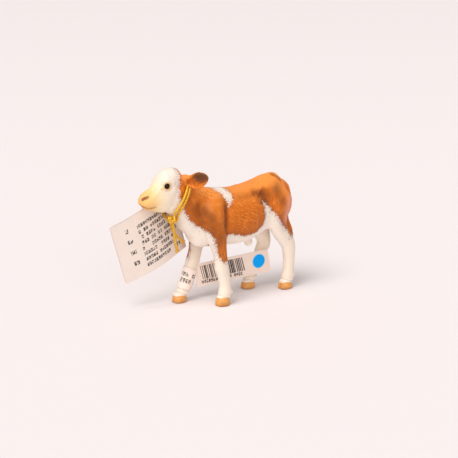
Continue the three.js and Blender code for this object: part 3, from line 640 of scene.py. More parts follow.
def spun_tube(name, line, diameter, trim):
    """A tube along a line in metres, wound with thread: two wraps side by side in a steep helix."""
    even, runs = evenly(line, trim.thread_pitch / RINGS_A_WRAP)
    across = None
    rings = []
    for index, point in enumerate(even):
        ahead = even[min(index + 1, len(even) - 1)] - even[max(index - 1, 0)]
        ahead = ahead / np.linalg.norm(ahead)
        if across is None:
            across = np.cross(ahead, [0.3, 0.2, 1.0])
        across = across - ahead * across.dot(ahead)
        across = across / np.linalg.norm(across)
        beside = np.cross(ahead, across)
        for side in range(TUBE_SIDES):
            angle = 2 * math.pi * side / TUBE_SIDES
            wrap = abs(math.sin(angle - math.pi * runs[index] / trim.thread_pitch))
            radius = diameter / 2 - trim.thread_depth * (1 - wrap) ** 1.6
            rings.append(point + across * math.cos(angle) * radius + beside * math.sin(angle) * radius)
    faces = []
    for low in range(0, len(rings) - TUBE_SIDES, TUBE_SIDES):
        high = low + TUBE_SIDES
        for side in range(TUBE_SIDES):
            following = (side + 1) % TUBE_SIDES
            faces.append((low + side, low + following, high + following, high + side))
    faces.append(tuple(reversed(range(TUBE_SIDES))))
    faces.append(tuple(range(len(rings) - TUBE_SIDES, len(rings))))
    piece = made_of(name, rings, faces)
    layer = piece.data.uv_layers.new(name="thread")
    for face in piece.data.polygons:
        for loop in face.loop_indices:
            ring, side = divmod(piece.data.loops[loop].vertex_index, TUBE_SIDES)
            closing = face.index % TUBE_SIDES == TUBE_SIDES - 1 and side == 0
            turn = 1 if closing else side / TUBE_SIDES
            layer.data[loop].uv = (runs[ring] / MM, turn)
    return piece


def gold_material(trim):
    paint = Paint("gold_thread", roughness=0.3, Metallic=0.7, Specular_IOR_Level=0.3)
    along, around = paint.uv("thread")
    pitch = trim.thread_pitch / MM
    phase = around - along / pitch * 0.5
    wrap = abs((phase * 2).part() - 0.5) * 2
    strands = paint.noise(paint.vector(along * 1.2, phase * 26, 0), detail=3, roughness=0.6)
    glint = paint.noise(paint.vector(along * 6, phase * 60, 0), detail=1)
    deep = wrap.step(0.55, 1.0)
    body = paint.mix(strands.step(0.3, 0.75), trim.gold, colour(255, 218, 92))
    shade = paint.mix(deep * 0.85, body, trim.gold_deep)
    paint.set("Base Color", paint.mix(glint.step(0.62, 0.8) * 0.45, shade, colour(255, 240, 170)))
    paint.set("Roughness", strands * 0.25 + 0.22)
    paint.bump(strands * 0.6 + (1 - deep) * 0.4, 0.05 * MM, 0.7)
    return paint.material


class CALF_OT_cords(bpy.types.Operator):
    """The gold neck cord: two turns round the neck, its knot and its two loose ends"""

    bl_idname = "toy_calf.cords"
    bl_label = "Neck cord"

    def execute(self, context):
        trim = context.scene.toy_calf_trim
        gold = gold_material(trim)
        route = in_part(flowing(cord_route()))
        loop = rounded(spun_tube("neck_cord", route, CORD_DIAMETER * MM, trim))
        painted(loop, gold, "calf", "gold_cord", "cord_loop")
        lean = math.radians(KNOT_LEAN_DEG)
        down = Vector((-math.sin(lean), 0, -math.cos(lean)))
        knot = self.knot(down, trim)
        painted(knot, gold, "calf", "gold_cord", "cord_knot")
        start = knot_middle() + down * (KNOT_LENGTH / 2 + SEAM_GAP)
        for name, offsets in (("cord_end_front", FRONT_END_ROUTE), ("cord_end_rear", REAR_END_ROUTE)):
            points = [start - down * END_TUCK, *[start + Vector(offset) for offset in offsets]]
            end = self.loose_end(name + "_gold", in_part(flowing(points)), trim)
            painted(end, gold, "calf", "gold_cord", name)
        return {"FINISHED"}

    def knot(self, down, trim):
        """Tight wraps of the cord round its own ends, and the bight that holds them."""
        side = Vector((0, 1, 0))
        front = down.cross(side)
        middle = knot_middle()
        radius = (KNOT_DIAMETER - CORD_DIAMETER) / 2
        reach = KNOT_LENGTH / 2 - KNOT_WRAPS_INSET
        wraps = []
        for step in range(KNOT_WRAP_STEPS + 1):
            share = step / KNOT_WRAP_STEPS
            angle = share * KNOT_WRAPS * 2 * math.pi
            out = front * math.cos(angle) + side * math.sin(angle)
            wraps.append(middle + down * blend(-reach, reach, share) + out * radius)
        bight = [middle + front * ahead + side * left - down * up for ahead, left, up in KNOT_BIGHT]
        core = [middle + down * below for below in KNOT_CORE_DOWN]
        parts = [
            spun_tube("wraps", in_part(wraps), CORD_DIAMETER * MM, trim),
            spun_tube("bight", in_part(flowing(bight)), CORD_DIAMETER * MM, trim),
            spun_tube("core", in_part(flowing(core)), KNOT_CORE_DIAMETER * MM, trim),
        ]
        return rounded(joined("cord_knot_gold", parts))

    def loose_end(self, name, line, trim):
        """A loose end whose last millimetres open into a brush of threads."""
        strands = [spun_tube("end", line, CORD_DIAMETER * MM, trim)]
        tip = line[-1]
        ahead = (line[-1] - line[-4]).normalized()
        beside = ahead.cross(Vector((0, 1, 0))).normalized()
        for strand in range(BRUSH_THREADS):
            spread = (strand / (BRUSH_THREADS - 1) - 0.5) * 2
            reach = (BRUSH_REACH + BRUSH_RAGGED * math.cos(strand * 2.4)) * MM
            root = tip - ahead * 0.7 * MM + beside * spread * 0.25 * MM
            out = beside * spread * 0.75 * MM + Vector((0, math.sin(strand * 1.7) * 0.35 * MM, 0))
            points = [root, tip + ahead * 0.2 * MM + out * 0.55, tip + ahead * reach + out * 1.25]
            strands.append(spun_tube("strand", flowing(points, 5), BRUSH_THREAD_DIAMETER * MM, trim))
        return rounded(joined(name, strands))


# The moulded hide. Its places are millimetres from the origin between the hooves.

BODY_NODES = ["torso", "neck", "head", "foreleg_left", "foreleg_right", "hind_leg_left", "hind_leg_right",
              "tail", "sheath", "left_ear", "right_ear"]
# The solids are grown by this much to meet, and the skin is then drawn in to stand this far out.
SEAM_GROWTH = 0.25
SKIN_GROWTH = 0.16

# Outline of the brown coat as the left side shows it: along and up.
BROWN_OUTLINE = [
    (30.4, 66.0), (30.9, 62.2), (30.2, 60.2), (30.9, 57.6), (30.8, 55.6), (31.6, 53.8), (31.4, 51.8),
    (32.1, 50.2), (30.8, 47.7), (30.2, 45.4), (29.6, 43.2), (28.4, 41.3), (26.0, 38.3), (23.0, 35.9),
    (19.6, 33.1), (17.4, 30.2), (16.5, 26.0), (14.8, 21.4), (12.6, 18.8), (10.5, 20.0), (9.2, 25.0),
    (9.0, 30.4), (7.3, 30.5), (2.6, 28.8), (-2.2, 28.1), (-6.5, 29.1), (-9.9, 31.4), (-11.1, 34.6),
    (-10.6, 38.0), (-10.0, 42.2), (-12.8, 39.6), (-15.3, 36.5), (-17.4, 33.7), (-20.1, 30.2),
    (-23.2, 26.9), (-25.0, 24.2), (-26.4, 23.6), (-36.0, 22.6), (-40.0, 40.0), (-36.0, 66.0),
]
# Outline of the white patch behind the withers.
SADDLE_OUTLINE = [
    (12.9, 50.3), (14.4, 58.0), (6.4, 58.0), (6.5, 48.9), (5.8, 47.2), (6.0, 45.2), (7.1, 44.0), (8.3, 42.9),
    (9.2, 45.6), (10.3, 48.0),
]

# Moulded forms on both sides: a line along and up, its radius, how far it stands out or lies in,
# the strength of the painted shade laid along it, and the length over which its ends fade.
SIDE_FORMS = [
    ([(9.6, 46.4), (10.0, 43.4), (10.3, 40.4), (10.5, 37.0), (10.8, 33.4), (11.0, 30.6)],
     1.4, -0.7, 0.95, 5.0),
    ([(14.6, 46.0), (14.9, 41.5), (14.8, 36.4)], 3.4, 0.55, 0, 2.0),
    ([(23.0, 48.0), (22.8, 43.6), (21.6, 38.4)], 2.4, -0.7, 0.85, 3.0),
    ([(18.2, 44.6), (18.0, 41.0)], 1.5, 0.3, 0, 2.0),
    ([(20.0, 41.0), (17.6, 36.0), (15.6, 30.0)], 4.2, 0, 0.6, 0),
    ([(25.4, 44.4), (22.4, 40.0), (18.6, 35.4)], 3.0, 0, 0.75, 0),
    ([(12.4, 42.6), (13.0, 34.0)], 2.0, 0, 0.32, 0),
    ([(5.0, 40.0), (-6.0, 39.6)], 6.0, 0, 0.14, 0),
    ([(-17.4, 46.6), (-19.4, 41.6)], 3.2, 0, 0.7, 0),
    ([(20.4, 42.8), (18.0, 38.6)], 2.6, 0, 0.85, 0),
    ([(27.6, 49.5), (26.4, 45.0), (25.0, 41.5)], 3.0, 0, 0.5, 0),
    ([(-16.0, 40.0), (-19.6, 35.0), (-22.6, 30.0)], 3.2, 0, 0.12, 0),
    ([(-8.6, 46.6), (-10.6, 44.6), (-11.0, 42.4), (-10.4, 40.2)], 3.0, -0.65, 1.0, 1.0),
    ([(-3.0, 46.6), (-8.0, 46.0), (-13.5, 45.2)], 1.8, -0.5, 0.8, 3.5),
    ([(2.6, 45.6), (-3.0, 46.0)], 2.0, 0, 0.42, 0),
    ([(-8.6, 44.6), (-12.6, 44.4)], 2.8, 0, 0.75, 0),
    ([(-1.0, 46.9), (-6.0, 47.3), (-10.3, 47.6), (-14.5, 48.0), (-19.0, 48.6)], 1.5, 0.4, 0, 3.0),
    ([(-10.2, 40.0), (-11.4, 37.0), (-11.9, 34.0), (-11.0, 31.5)], 1.0, -0.5, 0.2, 2.0),
    ([(-15.0, 42.0), (-17.2, 38.4), (-19.2, 35.0)], 3.6, 0.6, 0, 2.0),
    ([(-21.6, 44.0), (-21.9, 39.6), (-22.6, 35.0), (-24.2, 30.6)], 1.2, -0.28, 0.12, 4.0),
    ([(2.0, 36.0), (-3.0, 34.6), (-7.0, 35.2)], 4.2, 0.45, 0, 2.0),
    ([(17.2, 33.4), (15.6, 30.4), (14.6, 27.6)], 1.6, 0.3, 0, 2.0),
    ([(12.2, 31.6), (12.0, 27.8), (12.4, 24.0)], 0.9, -0.3, 0.2, 3.0),
    ([(27.2, 50.0), (25.0, 46.4), (23.6, 42.6)], 1.8, 0.35, 0, 3.0),
    ([(29.0, 53.0), (27.6, 49.6), (26.6, 46.0)], 1.0, -0.3, 0.2, 3.0),
]
# Painted highlights on the brown: a line along and up, its radius and its strength.
PAINTED_HIGHLIGHTS = [
    ([(-17.0, 48.6), (-22.0, 46.4)], 3.2, 0.8),
    ([(-7.0, 47.8), (-16.0, 48.2)], 1.2, 0.3),
    ([(19.4, 44.6), (18.4, 42.0)], 1.9, 0.4),
    ([(15.0, 41.6), (15.4, 38.8)], 1.3, 0.3),
    ([(22.0, 50.4), (16.0, 50.6), (12.0, 50.0)], 1.6, 0.5),
]
# The right legs stand elsewhere, so the outline of the brown is moved there.
RIGHT_FORELEG_AHEAD = 4.5
RIGHT_FORELEG_RISE = 4.5
RIGHT_HIND_LEG_AHEAD = 6
# Heights between which the brown also covers the front of the right foreleg
FORELEG_STRIP = (18.6, 31)
# Ribs: where the first one is, the step back to the next, and one rib's line from its own place
RIB_COUNT = 6
RIB_START = 7
RIB_STEP = 2.5
RIB_LINE = [(1.4, 45.6), (0, 41.0), (-0.6, 36.0), (0.2, 31.5)]
RIB_RADIUS = 0.8
RIB_RISE = 0.05

# Forms of the head on both sides, in its own frame: a line ahead of the poll, to the left and up,
# its radius and how far it stands out or lies in.
MOUTH = [(14.9, 0, -15.3), (14.2, 1.9, -15.9), (12.6, 2.6, -16.7), (9.9, 3.4, -16.2)]
NOSTRIL = [(14.8, 1.6, -12.5), (14.1, 2.1, -12.0), (12.9, 2.7, -11.5)]
HEAD_FORMS = [
    (MOUTH, 0.45, -0.55),
    (NOSTRIL, 0.58, -0.55),
    ([(15.4, 1.6, -11.2), (13.9, 2.6, -10.3), (12.6, 3.0, -10.4)], 0.7, 0.25),
    ([(13.6, 2.4, -17.6), (11.0, 2.9, -17.9)], 1.1, 0.22),
    ([(13.8, 2.6, -14.6), (11.6, 3.2, -14.6)], 1.2, 0.2),
    ([(2.4, 4.9, -6.2), (4.6, 5.0, -5.2), (7.0, 4.4, -5.9)], 0.9, 0.35),
    ([(3.2, 5.0, -13.0), (1.6, 5.0, -10.4)], 2.8, 0.35),
    ([(8.5, 4.2, -10.5), (10.6, 3.4, -12.2)], 1.3, -0.22),
    ([(8.8, 2.6, -5.8), (12.4, 2.0, -9.8)], 0.8, 0.15),
    ([(12.8, 2.4, -11.0), (14.4, 2.4, -11.9)], 0.8, 0.3),
    ([(7.4, 4.0, -16.4), (3.6, 4.4, -17.6), (0.0, 4.2, -16.6)], 0.9, 0.22),
]
# The right cheek is pressed in, so that it clears the leaflet.
RIGHT_CHEEK = [([(2.5, -5.5, -11.5), (7.0, -5.3, -11.5), (12.0, -4.6, -12.8)], 3.4, -0.75)]
# The profile: the height of the solid's top by the distance ahead of the poll, and how far it is lowered
HEAD_TOP = ([-2, 2, 5, 8, 11.3, 14, 16], [0, -0.2, -0.9, -4.2, -8.3, -10.6, -12.5])
HEAD_LOWERED = ([-3, 0, 3, 6, 9, 11, 13, 15, 16.5], [0, 0.5, 0.9, 1.2, 1.7, 1.7, 0.9, 0.2, 0])
# Knees, fetlocks and hocks, each at a single place: left, then right
LEG_FORMS = [
    ([(12.9, 8.0, 17.4)], 2.0, 0.3), ([(17.2, -6.8, 17.2)], 2.0, 0.3),
    ([(11.0, 8.0, 8.4)], 1.6, 0.22), ([(21.6, -6.8, 7.2)], 1.6, 0.22),
    ([(-27.2, 5.0, 20.6)], 1.5, 0.45), ([(-21.2, -5.4, 20.6)], 1.5, 0.45),
    ([(-24.0, 5.0, 19.4)], 1.8, -0.2), ([(-18.0, -5.4, 19.6)], 1.8, -0.2),
    ([(-25.6, 4.8, 8.0)], 1.6, 0.25), ([(-13.0, -5.4, 7.8)], 1.6, 0.25),
]
# Brisket, backbone, hip and pin bones, tail head and withers, on both sides
TRUNK_FORMS = [
    ([(25.4, 0, 35.0), (22.4, 0, 30.6), (18.0, 0, 26.6)], 2.2, 0.5),
    ([(-10.0, 0, 50.8), (2.0, 0, 49.6)], 3.4, -0.85),
    ([(-12.5, 5.6, 48.8)], 1.6, 0.35),
    ([(-23.6, 3.2, 48.4)], 1.6, 0.35),
    ([(-16.0, 2.6, 52.0), (-21.0, 2.6, 51.2)], 1.1, -0.3),
    ([(-17.0, 0, 53.0), (-23.5, 0, 51.0)], 1.0, 0.35),
    ([(13.0, 1.6, 51.0), (18.0, 1.6, 51.2)], 1.2, 0.25),
]
# The ears' roots as shares of the head's length and width, and which way they run
EAR_ROOTS = {1: (-0.15, 0.36, -0.34), -1: (-0.08, -0.36, -0.31)}
EAR_RUNS = {1: (-0.50, 0.84, 0.20), -1: (-0.20, -0.97, -0.06)}
EAR_LENGTH = 13
OUTSIDE_EARS = -9.0
# Painted shade in a notch on each side of the tail head, and a painted grey sheen behind the thigh
TAIL_NOTCH = [(-18.8, 1.6, 52.0), (-19.9, 3.0, 51.3), (-21.0, 4.4, 50.0)]
SHEEN_LINE = [(-24.4, 41.0), (-23.2, 34.6), (-23.0, 32.0)]
# The bump at the left ear's root, the part of the crest that is lowered, and the right ear's drop
EAR_BUMP = (28.2, 3.6, 57.6)
EAR_BUMP_RADIUS = 2.0
EAR_BUMP_RISE = 1.5
CREST_MIDDLE = (24.8, 0, 56.0)
CREST_SPREAD = (2.6, 5, 3)
RIGHT_EAR_DROP = 1.8
# The tail and the back of the left thigh: which way is outward, and where and how far they are drawn in
THIGH_OUTWARD = (-0.81, 0.59, 0)
THIGH_HEIGHT = 32.0
THIGH_SPREAD = 5.2
THIGH_DRAWN_IN = 1.9
# The rim of an eye and the socket round it: the distance from the eye's middle, the width and the rise
EYE_RIMS = [(1.62, 0.34, 0.26), (2.5, 0.5, -0.14)]
# In the head's own frame: the middle of the muzzle's paint, and the front corner of an eye
MUZZLE_MIDDLE = (14.6, 0, -13.8)
EYE_CORNER = (7.3, 4.6, -8.3)
EYE_CORNER_SPREAD = (1.1, 1.2, 0.6)
# Moves the noise along the white patch's border, so that it isn't the coat's own.
SADDLE_RUN = 7.7


def nearest_on(points, line):
    """The distance from each point to a line of points, and how far along the line its nearest place is."""
    line = np.asarray(line, float)
    best = np.full(len(points), np.inf)
    run = np.zeros(len(points))
    passed = 0
    for start, end in zip(line[:-1], line[1:]):
        edge = end - start
        length = np.linalg.norm(edge)
        share = np.clip((points - start) @ edge / (length * length), 0, 1)
        away = np.linalg.norm(points - start - share[:, None] * edge, axis=1)
        closer = away < best
        best = np.where(closer, away, best)
        run = np.where(closer, passed + share * length, run)
        passed += length
    return best, run


def inside(points, outline):
    """Which points are inside an outline."""
    outline = np.asarray(outline, float)
    within = np.zeros(len(points), bool)
    for (x0, z0), (x1, z1) in zip(outline, np.roll(outline, -1, axis=0)):
        crosses = (z0 > points[:, 1]) != (z1 > points[:, 1])
        with np.errstate(divide="ignore", invalid="ignore"):
            at = (x1 - x0) * (points[:, 1] - z0) / (z1 - z0) + x0
        within ^= crosses & (points[:, 0] < at)
    return within


def signed_distance(points, outline):
    closed = [*outline, outline[0]]
    away, run = nearest_on(points, closed)
    return np.where(inside(points, outline), away, -away), run


class Skin:
    """A dense closed mesh as arrays, shaped as a sculptor would: smoothed, raised and pressed in."""

    def __init__(self, piece, origin):
        mesh = piece.data
        self.piece = piece
        self.origin = np.array(origin)
        places = np.empty(len(mesh.vertices) * 3)
        mesh.vertices.foreach_get("co", places)
        self.places = places.reshape(-1, 3) / MM - self.origin
        edges = np.empty(len(mesh.edges) * 2, int)
        mesh.edges.foreach_get("vertices", edges)
        self.edges = edges.reshape(-1, 2)
        counts = np.zeros(len(self.places))
        np.add.at(counts, self.edges.ravel(), 1)
        self.counts = np.maximum(counts, 1)[:, None]
        self.written()

    def neighbours(self, values):
        total = np.zeros_like(values)
        np.add.at(total, self.edges[:, 0], values[self.edges[:, 1]])
        np.add.at(total, self.edges[:, 1], values[self.edges[:, 0]])
        return total / self.counts

    def averaged(self, values, passes):
        """Values drawn towards their neighbours' mean."""
        values = values.copy()
        for _ in range(passes):
            values += 0.6 * (self.neighbours(values) - values)
        return values

    def cavity(self, passes, depth):
        """How deep each place lies among those round it, from -1 on a ridge to 1 in a groove."""
        below = ((self.averaged(self.places, passes) - self.places) * self.normals).sum(axis=1)
        return np.clip(below / depth, -1, 1)

    def smoothed(self, passes, share=0.5, back=0.0, weight=1.0):
        for _ in range(passes):
            self.places += weight * share * (self.neighbours(self.places) - self.places)
            if back:
                self.places -= weight * back * (self.neighbours(self.places) - self.places)

    def written(self):
        """Puts the places into the mesh and reads its normals."""
        mesh = self.piece.data
        mesh.vertices.foreach_set("co", ((self.places + self.origin) * MM).ravel())
        mesh.update()
        normals = np.empty(len(mesh.vertices) * 3)
        mesh.vertices.foreach_get("normal", normals)
        self.normals = normals.reshape(-1, 3)

    def raised(self, height):
        self.places += self.normals * np.asarray(height).reshape(-1, 1)
        self.written()

    def stored(self, name, values):
        layer = self.piece.data.attributes.new(name, "FLOAT", "POINT")
        layer.data.foreach_set("value", np.asarray(values, np.float32))


def merged_copy(node, grow):
    """A copy of a solid's mesh with its vertices merged, grown by some millimetres."""
    net = bmesh.new()
    net.from_mesh(frame["nodes"][node].data)
    bmesh.ops.remove_doubles(net, verts=net.verts, dist=0.002 * MM)
    net.normal_update()
    for vertex in net.verts:
        vertex.co += vertex.normal * grow * MM
    mesh = bpy.data.meshes.new(node + "_copy")
    net.to_mesh(mesh)
    net.free()
    piece = bpy.data.objects.new(node + "_copy", mesh)
    bpy.context.scene.collection.objects.link(piece)
    return piece


def largest_part(piece):
    """Drops what isn't joined to the largest part of a mesh."""
    net = bmesh.new()
    net.from_mesh(piece.data)
    net.verts.ensure_lookup_table()
    seen = set()
    parts = []
    for vertex in net.verts:
        if vertex.index in seen:
            continue
        part = []
        waiting = [vertex]
        seen.add(vertex.index)
        while waiting:
            one = waiting.pop()
            part.append(one)
            for edge in one.link_edges:
                other = edge.other_vert(one)
                if other.index not in seen:
                    seen.add(other.index)
                    waiting.append(other)
        parts.append(part)
    parts.sort(key=len)
    for part in parts[:-1]:
        bmesh.ops.delete(net, geom=part, context="VERTS")
    net.to_mesh(piece.data)
    net.free()


def noise_at(places, scale, seed):
    shift = Vector((seed * 7.3, seed * 3.1, seed * 5.7))
    return np.array([noise.noise(Vector(place * scale) + shift) for place in places])


def streaks(places, flow, length, width, seed):
    """Noise drawn out along a direction, as combed hair."""
    flow = np.asarray(flow, float) / np.linalg.norm(flow)
    beside = np.cross(flow, [0, 1, 0])
    beside = beside / np.linalg.norm(beside)
    local = np.stack([places @ flow / length, places @ beside / width, places[:, 1] / width], axis=1)
    bend = noise_at(places, 0.2, seed + 9) * 3.2
    local[:, 1] += bend
    local[:, 2] += bend * 0.6
    return noise_at(local, 0.8, seed) * 0.75 + noise_at(local, 1.7, seed + 5) * 0.45


def head_places(places):
    """Places in the head's own frame."""
    turn = np.array(Matrix.Rotation(math.radians(-HEAD_TURN_DEG), 3, "Z"))
    return (places - np.array(POLL)) @ turn.T


def mirrored(places):
    """The places, with those of the right side laid over the left's."""
    return np.stack([places[:, 0], np.abs(places[:, 1]), places[:, 2]], axis=1)


def ear_frame(side):
    """Root, run, breadth and facing of an ear."""
    run = Vector(EAR_RUNS[side]).normalized()
    facing = Vector((0.75, side * 0.45, -0.25))
    facing = (facing - run * facing.dot(run)).normalized()
    along, across, up = EAR_ROOTS[side]
    root = on_head(along * HEAD_LENGTH, across * HEAD_WIDTH, up * HEAD_LENGTH)
    return [np.array(part) for part in (root, run, run.cross(facing), facing)]


def bell(away, radius):
    """1 in the middle, falling smoothly to 0 some way past the radius."""
    return np.exp(-(away / radius) ** 2)


def stroke(points, line, radius, fade):
    """1 on a line, falling to 0 some way off it and towards its ends."""
    away, run = nearest_on(points, line)
    height = bell(away, radius)
    if not fade:
        return height
    length = sum(math.dist(a, b) for a, b in zip(line[:-1], line[1:]))
    return height * smooth(run, -0.3 * fade, fade) * smooth(length - run, -0.3 * fade, fade)


def standing_out(points, forms):
    """How far the forms stand out at each point: each a line or a single place, a radius and a rise."""
    height = np.zeros(len(points))
    for line, radius, rise in forms:
        if len(line) == 1:
            away = np.linalg.norm(points - np.array(line[0]), axis=1)
        else:
            away, _ = nearest_on(points, line)
        height += rise * bell(away, radius)
    return height


def shape_sides(skin):
    """Muscles, folds and ribs on both sides of the trunk."""
    side_view = skin.places[:, [0, 2]]
    height = np.zeros(len(side_view))
    for line, radius, rise, _, fade in SIDE_FORMS:
        height += rise * stroke(side_view, line, radius, fade)
    for rib in range(RIB_COUNT):
        start = RIB_START - rib * RIB_STEP
        away, _ = nearest_on(side_view, [(start + ahead, up) for ahead, up in RIB_LINE])
        height += RIB_RISE * bell(away, RIB_RADIUS)
    facing = smooth(np.abs(skin.normals[:, 1]), 0.15, 0.6)
    on_trunk = smooth(side_view[:, 1], 21, 25)
    skin.raised(height * facing * on_trunk)


def shape_head(skin):
    """Mouth, nostrils, brows and jaws, and the right cheek."""
    local = head_places(skin.places)
    height = standing_out(mirrored(local), HEAD_FORMS) + standing_out(local, RIGHT_CHEEK)
    skin.raised(height * smooth(local[:, 0], -3, 0))


def shape_profile(skin):
    """Lowers the forehead and the bridge of the nose."""
    ahead, _, up = head_places(skin.places).T
    near = smooth(up - np.interp(ahead, *HEAD_TOP), -4.5, -0.5)
    skin.raised(-np.interp(ahead, *HEAD_LOWERED) * near)


def shape_ears(skin):
    """Broadens the left ear, lifts its tip and fills its root, and lowers the crest and the right ear."""
    root_bump = np.linalg.norm(skin.places - np.array(EAR_BUMP), axis=1)
    crest = np.linalg.norm((skin.places - np.array(CREST_MIDDLE)) / np.array(CREST_SPREAD), axis=1)
    skin.raised(EAR_BUMP_RISE * bell(root_bump, EAR_BUMP_RADIUS) - CREST_DROP * bell(crest, 1))
    on_right_ear = smooth(-skin.places[:, 1], 5.0, 9.0) * smooth(skin.places[:, 2], 48, 51)
    skin.places[:, 2] -= RIGHT_EAR_DROP * on_right_ear
    root, run, breadth, facing = ear_frame(1)
    local = skin.places - root
    along, aside, out = local @ run, local @ breadth, local @ facing
    share = smooth(along, 1.5, 4.5) * smooth(np.abs(out), 4, 3) * smooth(np.abs(aside), 6, 4.5)
    share *= smooth(skin.places[:, 1] - POLL.y, 4.0, 5.5)
    wider = bell(along - 6.5, 4.5) * np.where(aside > 0, 0.3, 0.14) * aside
    tip = np.clip(along / EAR_LENGTH, 0, 1)
    lift = 0.9 * tip ** 3 - 0.4 * tip ** 4 * np.minimum(aside, 0)
    lift -= 0.45 * bell(along - 4, 2.5)
    skin.places += (share * (wider - lift))[:, None] * breadth
    skin.places += (share * 0.6 * tip ** 2)[:, None] * run
    skin.written()


def shape_rump(skin):
    """Draws the tail and the back of the left thigh in above the hock."""
    out = np.array(THIGH_OUTWARD)
    share = smooth(skin.places @ out, 18.5, 24.5) * bell(skin.places[:, 2] - THIGH_HEIGHT, THIGH_SPREAD)
    skin.places -= (share * THIGH_DRAWN_IN)[:, None] * out
    skin.written()


def eye_distance(places):
    """How far each place is from the nearer eye's middle."""
    best = np.full(len(places), np.inf)
    for name in ("left_eye", "right_eye"):
        low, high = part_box(name)
        middle = np.array((low + high) / 2) / MM - np.array(toy_place())
        best = np.minimum(best, np.linalg.norm(places - middle, axis=1))
    return best


def shape_eyes(skin):
    """A raised rim round each eye, and a shallow socket round the rim."""
    away = eye_distance(skin.places)
    skin.raised(sum(rise * bell(away - middle, width) for middle, width, rise in EYE_RIMS))


def shape_trunk(skin):
    skin.raised(standing_out(mirrored(skin.places), TRUNK_FORMS))


def shape_legs(skin):
    skin.raised(standing_out(skin.places, LEG_FORMS))


def hair(skin):
    """Combed hair in relief: backwards on the face and barrel, down on the shoulder, thigh and legs."""
    places = skin.places
    x, z = places[:, 0], places[:, 2]
    on_head_share = smooth(head_places(places)[:, 0], -2, 3)
    on_barrel = (1 - smooth(x, 8, 12)) * smooth(x, -16, -9) * smooth(z, 24, 30)
    on_rest = np.clip(1 - on_head_share - on_barrel, 0, 1)
    relief = on_head_share * 0.45 * streaks(places, (-0.85, 0, 0.5), length=2.0, width=0.55, seed=1)
    relief += on_barrel * streaks(places, (-0.86, 0, -0.5), length=2.6, width=0.62, seed=2)
    on_shoulder = smooth(x, 6, 11) * smooth(x, 27, 22) * smooth(z, 30, 36)
    off_shoulder = on_rest * (1 - on_shoulder)
    relief += off_shoulder * streaks(places, (-0.3, 0, -0.95), length=2.6, width=0.62, seed=3)
    relief += on_rest * on_shoulder * 1.3 * streaks(places, (-0.6, 0, -0.8), length=1.7, width=0.7, seed=3)
    patches = smooth(noise_at(places, 0.13, 4), -0.3, 0.35)
    smooth_parts = smooth(z, 6, 20) * 0.65 + 0.35
    return relief * (0.25 + 0.9 * patches) * smooth_parts


def coat_field(places, normals):
    """How deep each place lies in the brown, in millimetres, and its run along the border."""
    other = smooth(-places[:, 1], 1.0, 5.0)
    flat = places[:, [0, 2]].copy()
    flat[:, 0] += other * 1.3 * np.sin(flat[:, 1] * 0.42 + 0.8)
    flat[:, 1] += other * 1.1 * np.sin(flat[:, 0] * 0.31)
    on_foreleg = other * smooth(flat[:, 0], 2, 6)
    on_hind_leg = other * smooth(flat[:, 0], -6, -9)
    flat[:, 0] -= on_foreleg * RIGHT_FORELEG_AHEAD * smooth(flat[:, 1], 34, 20)
    flat[:, 1] -= on_foreleg * RIGHT_FORELEG_RISE * smooth(flat[:, 1], 36, 28)
    flat[:, 0] -= on_hind_leg * RIGHT_HIND_LEG_AHEAD * smooth(flat[:, 1], 38, 24)
    brown, run = signed_distance(flat, BROWN_OUTLINE)
    patch, patch_run = signed_distance(flat, SADDLE_OUTLINE)
    run = np.where(-patch < brown, patch_run + SADDLE_RUN, run)
    brown = np.minimum(brown, -patch)
    up = places[:, 2]
    strip = np.minimum((up - FORELEG_STRIP[0]) * 0.7, (normals[:, 0] - 0.15) * 3.2)
    strip = np.minimum(strip, (FORELEG_STRIP[1] - up) * 0.7)
    brown = np.where(on_foreleg > 0.5, np.maximum(brown, strip), brown)
    outward = normals[:, 1] * np.where(places[:, 1] >= 0, 1.0, -1.0)
    leg_limit = (outward + 0.35 - 0.27 * on_foreleg) * 3.6
    leg_limit = np.where(places[:, 0] < -10, (outward + 0.6) * 3.2, leg_limit)
    low = 1 - smooth(up, 29, 33)
    return blend(brown, np.minimum(brown, leg_limit), low), run


def ear_hollow(places, normals):
    """How deep each place lies in an ear's hollow, in millimetres."""
    hollow = np.full(len(places), OUTSIDE_EARS)
    for side in (1, -1):
        root, run, breadth, facing = ear_frame(side)
        local = places - root
        along, aside, out = local @ run, local @ breadth, local @ facing
        tip = np.clip(along / EAR_LENGTH, 0, 1)
        middle = np.stack([(along - 9.2) / 5.5, (aside + 1.2 + 1.4 * tip ** 3) / 4.1], axis=1)
        depth = (1 - np.linalg.norm(middle, axis=1)) * 2.6
        depth = np.minimum(depth, (normals @ facing + 0.05) * 3)
        depth = np.where((np.abs(out) < 2.2) & (along > 1), depth, OUTSIDE_EARS)
        hollow = np.maximum(hollow, depth)
    return hollow


